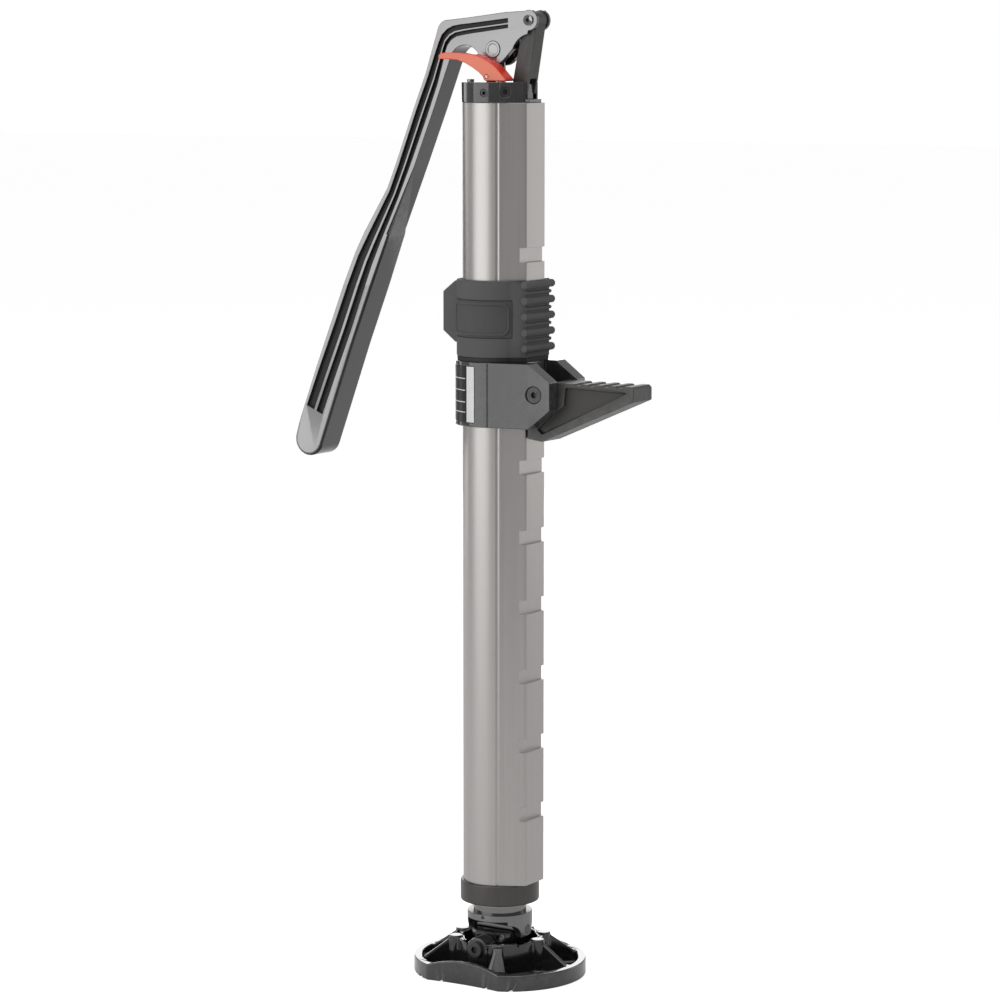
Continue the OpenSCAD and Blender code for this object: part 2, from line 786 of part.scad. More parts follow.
// side view of the whole handle, from the fork at the head down to the grip's end
module handle_side() {
    polygon(concat(
        [[43, p_z + 9], [13, p_z + 7.6], [-27, p_z + 3]],
        arc(-50, p_z - 11, 12, 85, 155, 6),
        [[-75, q_z - 22], [-89, q_z - 56], [-118, q_z - 130], [-131, q_z - 152], [-143, q_z - 172],
            [-153, q_z - 191], [-166, q_z - 222], [-199, q_z - 304]],
        arc(-209, q_z - 375, 16, 158, 338, 12),
        [[-157, q_z - 281], [-136, q_z - 228], [-115, q_z - 175], [-98, q_z - 134], [-66, q_z - 56]],
        arc(-31, q_z - 13, 17, 165, 33, 10),
        arc(0, q_z, 15, 215, 320, 8),
        arc(41, q_z - 7, 21, 160, 100, 6)));
}

// half thickness of the lever against height, less an inset: thin at the head, thick at the grip
module lever_waist(inset = 0) {
    t0 = handle_t / 2 - inset;
    t1 = grip_t / 2 - inset;
    t2 = t0 + 0.7 * (t1 - t0);
    rotate([90, 0, 90]) translate([0, 0, -300]) linear_extrude(400)
        polygon([[-t1, q_z - 420], [t1, q_z - 420], [t1, q_z - 223], [t2, q_z - 183], [t0, q_z - 108],
            [t0, q_z + 60], [-t0, q_z + 60], [-t0, q_z - 108], [-t2, q_z - 183], [-t1, q_z - 223]]);
}

// stations along the lever: a point on the outer edge, the point opposite it on the inner edge,
// and how far from the outer edge the two channels start and end
channel_stations = [
    [16, 912.4, 16, 886, 6.2, 9.8, 11.8, 14.6],
    [-24, 907.3, -24, 880.6, 5.4, 9.2, 11.2, 14.2],
    [-36, 906, -30, 881.5, 5.2, 9.4, 11.5, 14.6],
    [-46, 904.2, -36, 880.5, 5, 9.6, 11.8, 15],
    [-53, 901, -41, 877.5, 5, 9.8, 12, 15.4],
    [-59, 895.5, -45, 873, 4.8, 10, 12.2, 15.8],
    [-63, 888, -48, 868.5, 4.8, 10.2, 12.4, 16],
    [-67, 878, -51, 862, 4.6, 10.2, 12.4, 16.2],
    [-75, 856, -58, 844, 4, 9.8, 12, 16.4],
    [-89, 822, -70, 814, 3.6, 9.4, 11.6, 16.6],
    [-118, 746, -102, 739, 3, 8, 10.2, 14.2],
    [-130, 725, -112, 716, 3.2, 9.2, 11.8, 16.6],
    [-142, 704, -122, 694, 3.4, 10.4, 13.4, 18.8],
    [-153, 684, -131, 673, 3.6, 11.6, 14.8, 21],
    [-165, 656, -141, 646, 3.8, 12.2, 15.6, 22.4],
    [-180, 619, -155, 609, 3.8, 12.6, 16, 23.2],
    [-199, 574, -174, 563, 3.8, 12.8, 16.2, 23.4],
    [-213.5, 538, -188.5, 527, 3.8, 12.6, 16, 23.2]
];

// the point at a distance d from the outer edge at one station
function across(r, d) = [r[0], r[1]] + [r[2] - r[0], r[3] - r[1]] * d / norm([r[2] - r[0], r[3] - r[1]]);

// the k-th long channel from the outer edge, in both faces
module lever_channel(k) {
    depth = 3.2;
    n = len(channel_stations) - 1;
    difference() {
        plate_xz(2 * grip_t) polygon(concat(
            [for (i = [0 : n]) across(channel_stations[i], channel_stations[i][4 + 2 * k])],
            [for (i = [n : -1 : 0]) across(channel_stations[i], channel_stations[i][5 + 2 * k])]));
        lever_waist(depth);
    }
}

module handle_lever() {
    eye_gap = 1.5;
    slot_r = plunger_eye_r + eye_gap;
    slot_t = 2 * (plunger_r + gap);
    sweep = 40;
    color([0.42, 0.42, 0.41]) difference() {
        union() {
            intersection() {
                plate_xz(grip_t) handle_side();
                lever_waist();
            }
            rod_y(p_x, p_z, 9.5, handle_t);
        }
        // gap that the plunger's eye and neck work in
        rod_y(0, q_z, slot_r, slot_t);
        translate([-slot_r, -slot_t / 2, q_z - sweep]) cube([slot_r + sweep, slot_t, sweep]);
        // fork that holds the link
        translate([fork_x0, -fork_half, p_z - sweep]) cube([sweep, 2 * fork_half, 2 * sweep]);
        rod_y(0, q_z, plunger_pin_r - run_fit / 2, 2 * handle_t);
        rod_y(p_x, p_z, link_pin_r, 2 * handle_t);
        for (k = [0, 1]) lever_channel(k);
    }
}

module plunger_pin() {
    proud = 0.8;
    dish_r = plunger_pin_r - 2.4;
    color("gray") difference() {
        rod_y(0, q_z, plunger_pin_r - run_fit, handle_t + 2 * proud);
        for (s = [-1, 1]) rod_y(0, q_z, dish_r, 2 * proud, s * (handle_t / 2 + proud));
    }
}

module link_pin() {
    cap_r = link_pin_r + 1.8;
    cap_t = 1.6;
    cap_y = (handle_t + cap_t) / 2 + run_fit;
    color("silver") difference() {
        union() {
            rod_y(p_x, p_z, link_pin_r - run_fit, handle_t + 2 * cap_t);
            for (s = [-1, 1]) rod_y(p_x, p_z, cap_r, cap_t, s * cap_y);
        }
        socket_y(p_x, p_z, -handle_t / 2 - cap_t, link_pin_r, 2);
    }
}

// ---- link -------------------------------------------------------------------------------

// side view of the link: eye at the top, straight outer face, foot round the lower pin
module link_side() {
    union() {
        translate([p_x, p_z]) circle(r = 8);
        translate([link_foot_x, link_foot_z]) circle(r = link_foot_r);
        polygon([[p_x - 7.4, p_z - 3], [p_x - 14, p_z - 30], [link_foot_x - 3.5, link_foot_z + 10],
            [link_foot_x - link_foot_r, link_foot_z], [link_foot_x, link_foot_z - link_foot_r],
            [link_foot_x + 11.5, link_foot_z - 2.5], [p_x + 5.5, p_z - 9.5], [p_x + 8, p_z]]);
    }
}

module link() {
    web_top = p_z - 12;
    web_low = link_foot_z + 11;
    out = 30;
    color([0.22, 0.22, 0.23]) difference() {
        plate_xz(2 * link_half) link_side();
        // channel between the two flanges, closed by the web on the outer side
        plate_xz(2 * (link_half - link_wall)) polygon([
            [p_x - out, web_top], [p_x + 2.3, web_top], [link_foot_x + 11, web_low],
            [link_foot_x + out, web_low], [link_foot_x + out, link_foot_z - out],
            [p_x - out, link_foot_z - out]]);
        rod_y(p_x, p_z, link_pin_r, 2 * (link_half + past));
        rod_y(link_foot_x, link_foot_z, lower_pin_r - run_fit / 2, 2 * (link_half + past));
    }
}

module link_lower_pin() {
    color("gray") rod_y(link_foot_x, link_foot_z, lower_pin_r - run_fit, 2 * link_half);
}

// ---- release lever ----------------------------------------------------------------------

module release_lever() {
    heel_r = 4.2;
    ear_room = 0.4;
    ear_x = ear_r + 4;
    stem_room = 1.8;
    color([0.85, 0.16, 0.1]) difference() {
        plate_xz(2 * lever_half, lever_y) polygon(concat(
            arc(lever_pivot_x, lever_pivot_z, heel_r, 180, 270, 6),
            [[22, head_z1 + 0.8], [24, head_z1 + 2], [12, head_z1 + 14], [6, head_z1 + 18],
                [-1, head_z1 + 21.4], [-7, head_z1 + 24], [-13, head_z1 + 25.6],
                [-29, head_z1 + 27], [-45, head_z1 + 27],
                [-50, head_z1 + 25], [-50, head_z1 + 21], [-38, head_z1 + 21], [-29, head_z1 + 20],
                [-21, head_z1 + 17.4], [-13, head_z1 + 13.4], [-6, head_z1 + 9]]));
        rod_y(lever_pivot_x, lever_pivot_z, lever_pin_r + run_fit, 2 * (lever_half + past), lever_y);
        translate([lever_pivot_x - ear_x, lever_y - ear_half - ear_room, head_z1 - past])
            cube([2 * ear_x, 2 * (ear_half + ear_room), lever_pivot_z - head_z1 + ear_r + 2 * past]);
        translate([stem_x, lever_y, head_z1 - past]) cylinder(r = stem_r + stem_room, h = 8);
    }
}

module release_pin() {
    color("silver")
        rod_y(lever_pivot_x, lever_pivot_z, lever_pin_r - run_fit / 2, 2 * lever_half, lever_y);
}

module release_stem() {
    stem_up = 4.5;
    stem_z0 = column_z1 + 3;
    color("silver") translate([stem_x, lever_y, stem_z0])
        cylinder(r = stem_r, h = head_z1 + stem_up - stem_z0);
}

module release_stem_seal() {
    color("black") translate([stem_x, lever_y, 0])
        ring(stem_seal_r, stem_r + run_fit, head_z1 - stem_seal_h, head_z1 - 0.6);
}

// ---- carrier ----------------------------------------------------------------------------

// plan of the carrier: a ring round the column and two cheeks that reach forward
module carrier_plan() {
    union() {
        circle(r = carrier_r);
        polygon([[0, -carrier_r], [cheek_root_x, -cheek_y], [cheek_x, -cheek_front_y],
            [cheek_x, cheek_front_y], [cheek_root_x, cheek_y], [0, carrier_r]]);
    }
}

// the space of a sliding pad, let into the carrier's bore on the side s
module pad_space(s) {
    pad_half = 7;
    pad_h = 12;
    pad_in = 5;
    for (z = [carrier_z0 + pad_in, carrier_z1 - pad_in - pad_h])
        rotate([0, 0, s * 120]) translate([0, -pad_half, z])
            cube([column_r + gap + pad_t, 2 * pad_half, pad_h]);
}

module hook_carrier() {
    bevel_x = cheek_x - 22.7;
    bevel_top = carrier_z1 - 16.3;
    bevel_low = carrier_z0 + 18.4;
    out = 9;
    slot_x0 = column_front + gap - 0.1;
    pocket_x0 = notch_floor + gap;
    color([0.06, 0.06, 0.06]) difference() {
        translate([0, 0, carrier_z0]) linear_extrude(carrier_h) carrier_plan();
        // passage of the column
        translate([0, 0, carrier_z0 - past]) linear_extrude(carrier_h + 2 * past) column_plan(gap);
        for (s = [-1, 1]) pad_space(s);
        // slot of the hook, and the pocket that the dog slides in
        translate([slot_x0, -cheek_in, carrier_z0 - past])
            cube([cheek_x, 2 * cheek_in, carrier_h + 2 * past]);
        translate([pocket_x0, -dog_half - dog_side_gap, dog_z - dog_h / 2 - dog_room])
            cube([dog_x1 + dog_room - pocket_x0, 2 * (dog_half + dog_side_gap), dog_h + 2 * dog_room]);
        for (s = [-1, 1])
            rod_x(s * dog_spring_y, dog_spring_z, dog_spring_r, dog_x1 - past, dog_x1 + dog_spring_len);
        // bevels of the two cheeks, above and below
        plate_xz(4 * cheek_y) polygon([[bevel_x, carrier_z1], [cheek_x, bevel_top],
            [cheek_x + out, bevel_top], [cheek_x + out, carrier_z1 + out], [bevel_x, carrier_z1 + out]]);
        plate_xz(4 * cheek_y) polygon([[bevel_x, carrier_z0], [cheek_x, bevel_low],
            [cheek_x + out, bevel_low], [cheek_x + out, carrier_z0 - out], [bevel_x, carrier_z0 - out]]);
        // bore and counterbores of the pivot bolt
        rod_y(pivot_x, pivot_z, bolt_r, 4 * cheek_y);
        rod_y(pivot_x, pivot_z, bolt_seat_r, out, -bolt_seat_y - out / 2);
        rod_y(pivot_x, pivot_z, nut_seat_r, out, bolt_seat_y + out / 2);
        bent_slab(carrier_r - label_depth, carrier_r + past, carrier_z0 + label_margin,
            carrier_h - 2 * label_margin, label_a0, label_a1 - label_a0);
    }
}

module carrier_pads() {
    color([0.85, 0.85, 0.8]) difference() {
        for (s = [-1, 1]) pad_space(s);
        translate([0, 0, carrier_z0]) cylinder(r = column_r + 2 * run_fit, h = carrier_h);
    }
}

module label_strip() {
    edge = 0.3;
    edge_a = 0.4;
    color([0.85, 0.85, 0.85])
        bent_slab(carrier_r - label_depth, carrier_r - 0.1, carrier_z0 + label_margin + edge,
            carrier_h - 2 * (label_margin + edge), label_a0 + edge_a, label_a1 - label_a0 - 2 * edge_a);
}

module hook_bolt() {
    head_t = 4.6;
    face_y = -bolt_seat_y - head_t;
    end_y = bolt_seat_y + nut_t + 1;
    color("silver") difference() {
        union() {
            rod_y(pivot_x, pivot_z, bolt_r - run_fit, end_y - face_y, (end_y + face_y) / 2);
            rod_y(pivot_x, pivot_z, bolt_seat_r - 0.2, head_t, face_y + head_t / 2);
        }
        socket_y(pivot_x, pivot_z, face_y, bolt_r, 3);
    }
}

module hook_bolt_nut() {
    color("silver") difference() {
        translate([pivot_x, bolt_seat_y + nut_t, pivot_z]) rotate([90, 0, 0])
            cylinder(r = bolt_seat_r, h = nut_t, $fn = 6);
        rod_y(pivot_x, pivot_z, bolt_r - run_fit, 4 * nut_t, bolt_seat_y);
    }
}

// ---- grip -------------------------------------------------------------------------------

// plan of the grip: round back and the same flats as the column, drawn back by inset
module grip_plan(inset = 0) {
    dist = grip_front * cos(flat_angle) + grip_half * sin(flat_angle) - inset;
    union() {
        circle(r = grip_r - inset);
        polygon([[dist * cos(flat_angle), -dist * sin(flat_angle)], [grip_front - inset, -grip_half + inset],
            [grip_front - inset, grip_half - inset], [dist * cos(flat_angle), dist * sin(flat_angle)]]);
    }
}

module grip_base_ring() {
    color([0.12, 0.12, 0.12]) difference() {
        translate([0, 0, carrier_z1]) linear_extrude(base_ring_h) grip_plan(0.6);
        translate([0, 0, carrier_z1 - past]) linear_extrude(base_ring_h + 2 * past) column_plan(gap);
    }
}

module grip_sleeve() {
    rib_n = 5;
    rib_pitch = 14.8;
    rib_r = 3.6;
    rib_len = 51;
    wing_x = -54;
    wing_t = 30;
    wing_z0 = grip_z0 + 22;
    wing_z1 = grip_z0 + 59;
    slope = 10.5;
    color([0.3, 0.3, 0.3]) difference() {
        union() {
            translate([0, 0, grip_z0]) linear_extrude(grip_h) grip_plan();
            for (i = [0 : rib_n - 1]) rod_y(grip_front, grip_z1 - rib_r - i * rib_pitch, rib_r, rib_len);
            plate_xz(wing_t) polygon([[wing_x, wing_z0], [-grip_r, wing_z0 - slope],
                [-column_r, wing_z0 - slope], [-column_r, wing_z1 + slope],
                [-grip_r, wing_z1 + slope], [wing_x, wing_z1]]);
        }
        translate([0, 0, grip_z0 - past]) linear_extrude(grip_h + 2 * past) column_plan(gap);
        bent_slab(grip_r - badge_depth, grip_r + 2, badge_z0, badge_h, badge_a0, badge_sweep);
    }
}

module grip_badge() {
    edge = 0.4;
    edge_a = 0.6;
    color([0.36, 0.36, 0.36]) bent_slab(grip_r - badge_depth, grip_r - 0.3, badge_z0 + edge,
        badge_h - 2 * edge, badge_a0 + edge_a, badge_sweep - 2 * edge_a);
}

// ---- hook -------------------------------------------------------------------------------

module locking_dog() {
    color("gray") translate([dog_x0, -dog_half, dog_z - dog_h / 2])
        cube([dog_x1 - dog_x0, 2 * dog_half, dog_h]);
}

module dog_springs() {
    wire_r = 0.25;
    turns = 5;
    color("silver") for (s = [-1, 1]) translate([dog_x1, s * dog_spring_y, dog_spring_z])
        rotate([0, 90, 0]) coil(dog_spring_r - 2 * wire_r, wire_r, dog_spring_len, turns, 0);
}

// side view of the hook: toothed top, straight underside, heel against the column, round eye
module hook_side() {
    tip_z = dog_z + 15.4;
    tooth = 15;
    tooth_n = 4;
    valley = 2;
    heel_x = 41;
    polygon(concat(
        [[heel_x, dog_z - 38.6], [hook_heel_x, dog_z - 40.6], [hook_reach, dog_z + 1.4],
            [hook_reach, tip_z - 2.4], [hook_reach - 2.5, tip_z]],
        [for (i = [0 : tooth_n - 1]) let (x = hook_reach - 4.5 - tooth * i)
            each [[x - 6, tip_z], [x - 8, tip_z - valley], [x - 13, tip_z - valley], [x - 15, tip_z]]],
        [[pivot_x + 10, tip_z]],
        arc(pivot_x, pivot_z, hook_eye_r, 90, 215, 12),
        [[dog_x1, dog_z - dog_h / 2 - 2], [heel_x, dog_z - 12]]));
}

module hook() {
    panel_depth = 3.5;
    color([0.3, 0.28, 0.26]) difference() {
        plate_xz(2 * hook_half) hook_side();
        rod_y(pivot_x, pivot_z, bush_r, 2 * (hook_half + past));
        // hollow panel in each side
        for (s = [-1, 1]) plate_xz(2 * panel_depth, s * hook_half) polygon([
            [hook_heel_x, dog_z - 33.3], [hook_reach - 8, dog_z + 8.9], [pivot_x + 25, dog_z + 10.9],
            [pivot_x + 23.2, dog_z - 5.8], [pivot_x + 9.4, dog_z - 15.6], [pivot_x - 5.2, dog_z - 29]]);
    }
}

module hook_bush() {
    color("peru") difference() {
        rod_y(pivot_x, pivot_z, bush_r, 2 * hook_half);
        rod_y(pivot_x, pivot_z, bolt_r, 2 * (hook_half + past));
    }
}

foot_casting();
tilt_pin();
tilt_pin_clip();
knuckle();
cross_pin();
knuckle_screw();
rod_end_collar();
collar_set_screw();
piston_rod();
piston();
piston_seal();
piston_wear_band();
column_tube();
inner_cylinder();
gland_ring();
rod_wiper();
rod_seal();
rod_guide_bush();
pump_head();
head_lock_screws();
vent_screw();
filler_plug();
relief_valve_plug();
head_seal();
pump_barrel();
plunger_seal();
check_ball();
check_spring();
pump_plunger();
handle_lever();
plunger_pin();
link_pin();
link();
link_lower_pin();
release_lever();
release_pin();
release_stem();
release_stem_seal();
hook_carrier();
label_strip();
carrier_pads();
hook_bolt();
hook_bolt_nut();
grip_base_ring();
grip_sleeve();
grip_badge();
locking_dog();
dog_springs();
hook();
hook_bush();
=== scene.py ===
"""Visual model of an upright hydraulic recovery jack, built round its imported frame."""

import enum
import json
import logging
import math
from dataclasses import dataclass, field
from typing import Callable, Iterable

import bmesh
import bpy
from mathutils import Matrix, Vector

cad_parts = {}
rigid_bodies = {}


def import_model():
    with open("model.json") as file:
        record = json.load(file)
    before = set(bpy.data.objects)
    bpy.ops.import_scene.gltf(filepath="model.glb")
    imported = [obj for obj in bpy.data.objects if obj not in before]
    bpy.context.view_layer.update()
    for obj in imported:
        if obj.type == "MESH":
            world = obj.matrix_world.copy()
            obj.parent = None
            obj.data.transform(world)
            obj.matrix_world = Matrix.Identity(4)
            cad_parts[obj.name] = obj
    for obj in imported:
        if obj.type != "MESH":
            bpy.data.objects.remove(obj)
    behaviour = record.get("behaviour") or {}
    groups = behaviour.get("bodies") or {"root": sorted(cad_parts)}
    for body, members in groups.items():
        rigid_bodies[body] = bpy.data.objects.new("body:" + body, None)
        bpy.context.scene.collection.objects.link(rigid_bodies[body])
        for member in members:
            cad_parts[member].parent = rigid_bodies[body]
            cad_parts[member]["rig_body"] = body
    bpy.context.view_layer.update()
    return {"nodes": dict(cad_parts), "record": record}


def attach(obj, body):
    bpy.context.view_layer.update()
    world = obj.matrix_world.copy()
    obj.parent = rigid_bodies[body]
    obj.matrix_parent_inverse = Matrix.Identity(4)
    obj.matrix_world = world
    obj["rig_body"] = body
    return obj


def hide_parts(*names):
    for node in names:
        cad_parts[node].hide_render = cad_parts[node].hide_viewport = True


LOG = logging.getLogger("jack")
MM = 0.001  # metres in a millimetre
MERGE = 0.00001  # vertices nearer than this, in metres, become one
FLAT_DEGREES = 0.4  # faces that meet flatter than this become one
FACE_WEIGHT = 80  # how far large faces decide the shading at their edges
Pair = tuple[float, float]
Triple = tuple[float, float, float]
Colour = tuple[float, float, float, float]

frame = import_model()


# ---- modelling bench ------------------------------------------------------------------


class Bench:
    """The hand tools: each one runs Blender's own operators on a single object."""

    @staticmethod
    def clear() -> None:
        """Leave edit mode and deselect everything."""
        if bpy.context.object and bpy.context.object.mode != "OBJECT":
            bpy.ops.object.mode_set(mode="OBJECT")
        bpy.ops.object.select_all(action="DESELECT")

    @staticmethod
    def pick(piece: bpy.types.Object) -> None:
        """Make one object the only one that is selected, and the active one."""
        Bench.clear()
        piece.hide_set(False)
        piece.select_set(True)
        bpy.context.view_layer.objects.active = piece

    @staticmethod
    def settle(piece: bpy.types.Object) -> None:
        """Move the object's place into its mesh, so that it sits at the origin."""
        Bench.pick(piece)
        bpy.ops.object.transform_apply(location=True, rotation=True, scale=True)

    @staticmethod
    def modify(piece: bpy.types.Object, kind: str, **settings: object) -> None:
        """Add one modifier and apply it.

        Args:
            piece: the object to change.
            kind: Blender's name for the modifier's type.
            settings: values for the modifier's own properties.
        """
        Bench.pick(piece)
        bpy.ops.object.modifier_add(type=kind)
        modifier = piece.modifiers[-1]
        for key, value in settings.items():
            setattr(modifier, key, value)
        bpy.ops.object.modifier_apply(modifier=modifier.name)

    @staticmethod
    def round_edges(piece: bpy.types.Object, width: float, segments: int = 2,
                    angle: float = 34.0) -> None:
        """Round every edge sharper than an angle.

        Args:
            piece: the object to change.
            width: width of the rounding, in millimetres.
            segments: faces across the rounding.
            angle: edges flatter than this, in degrees, are left alone.
        """
        Bench.modify(piece, "BEVEL", width=width * MM, segments=segments,
                     limit_method="ANGLE", angle_limit=math.radians(angle),
                     use_clamp_overlap=False, miter_outer="MITER_ARC")
        Bench.smooth(piece)
        Bench.modify(piece, "WEIGHTED_NORMAL", keep_sharp=True, weight=FACE_WEIGHT)

    @staticmethod
    def smooth(piece: bpy.types.Object, angle: float = 38.0) -> None:
        """Shade smooth, and keep edges sharper than an angle in degrees."""
        Bench.pick(piece)
        bpy.ops.object.shade_smooth_by_angle(angle=math.radians(angle))

    @staticmethod
    def recalculate(piece: bpy.types.Object) -> None:
        """Merge doubles and point every face outwards."""
        Bench.pick(piece)
        bpy.ops.object.mode_set(mode="EDIT")
        bpy.ops.mesh.select_all(action="SELECT")
        bpy.ops.mesh.remove_doubles(threshold=MERGE)
        bpy.ops.mesh.normals_make_consistent(inside=False)
        bpy.ops.object.mode_set(mode="OBJECT")

    @staticmethod
    def traced_copy(node: str, name: str) -> bpy.types.Object:
        """Copy a frame node and clean the copy up into large flat faces.

        Args:
            node: name of the frame node.
            name: name of the new piece.

        Returns:
            The new piece, which stands for the node.
        """
        source = frame["nodes"][node]
        piece = bpy.data.objects.new(name, source.data.copy())
        piece.data.name = name
        bpy.context.scene.collection.objects.link(piece)
        piece.data.materials.clear()
        Bench.pick(piece)
        bpy.ops.object.mode_set(mode="EDIT")
        bpy.ops.mesh.select_all(action="SELECT")
        bpy.ops.mesh.remove_doubles(threshold=MERGE)
        bpy.ops.mesh.dissolve_limited(angle_limit=math.radians(FLAT_DEGREES))
        bpy.ops.object.mode_set(mode="OBJECT")
        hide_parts(node)
        return piece

    @staticmethod
    def join(piece: bpy.types.Object, other: bpy.types.Object) -> None:
        """Make the other object part of the piece."""
        Bench.pick(piece)
        other.select_set(True)
        bpy.ops.object.join()


# ---- finishes -------------------------------------------------------------------------


class Graph:
    """Short words for placing and joining shader nodes."""

    def __init__(self, tree: bpy.types.NodeTree) -> None:
        """Work on one node tree."""
        self.tree = tree

    def node(self, kind: str, **settings: object) -> bpy.types.Node:
        """Place a node and set its properties."""
        made = self.tree.nodes.new(kind)
        for key, value in settings.items():
            setattr(made, key, value)
        return made

    def join(self, source: bpy.types.NodeSocket, target: bpy.types.NodeSocket) -> None:
        """Link two sockets."""
        self.tree.links.new(source, target)

    def feed(self, value: object, target: bpy.types.NodeSocket) -> None:
        """Link a socket to the target, or set the target to a constant."""
        if isinstance(value, bpy.types.NodeSocket):
            self.join(value, target)
        else:
            target.default_value = value

    def maths(self, operation: str, first: object, second: object = 0.0,
              clamp: bool = False) -> bpy.types.NodeSocket:
        """Place a Math node.

        Args:
            operation: Blender's name of the operation.
            first: a socket or a number.
            second: a socket or a number.
            clamp: whether the result stays between 0 and 1.

        Returns:
            The node's output.
        """
        made = self.node("ShaderNodeMath", operation=operation, use_clamp=clamp)
        for index, value in enumerate((first, second)):
            self.feed(value, made.inputs[index])
        return made.outputs[0]

    def mix(self, mask: object, low: object, high: object) -> bpy.types.NodeSocket:
        """Place a colour mix of two colours or sockets, and give its output."""
        made = self.node("ShaderNodeMix", data_type="RGBA")
        for index, value in ((0, mask), (6, low), (7, high)):
            self.feed(value, made.inputs[index])
        return made.outputs[2]

    def bump(self, height: bpy.types.NodeSocket, strength: float, depth: float,
             shader: bpy.types.Node) -> None:
        """Feed a height into a shader's normal; the depth is in millimetres."""
        made = self.node("ShaderNodeBump")
        made.inputs["Strength"].default_value = strength
        made.inputs["Distance"].default_value = depth * MM
        self.join(height, made.inputs["Height"])
        self.join(made.outputs["Normal"], shader.inputs["Normal"])

    def spread(self, value: bpy.types.NodeSocket, low: float, high: float) -> bpy.types.NodeSocket:
        """Map a 0 to 1 mask onto the range low to high."""
        made = self.node("ShaderNodeMapRange")
        made.inputs["To Min"].default_value = low
        made.inputs["To Max"].default_value = high
        self.join(value, made.inputs["Value"])
        return made.outputs[0]


class Effect(enum.Enum):
    """The shared surface effects, each one a node group."""

    GRAIN = "surface_grain"
    STREAK = "drawn_streaks"
    SPECK = "fine_specks"
    # Lightens convex edges: edge wear, and a painted highlight.
    EDGE = "edge_wear_and_painted_highlight"


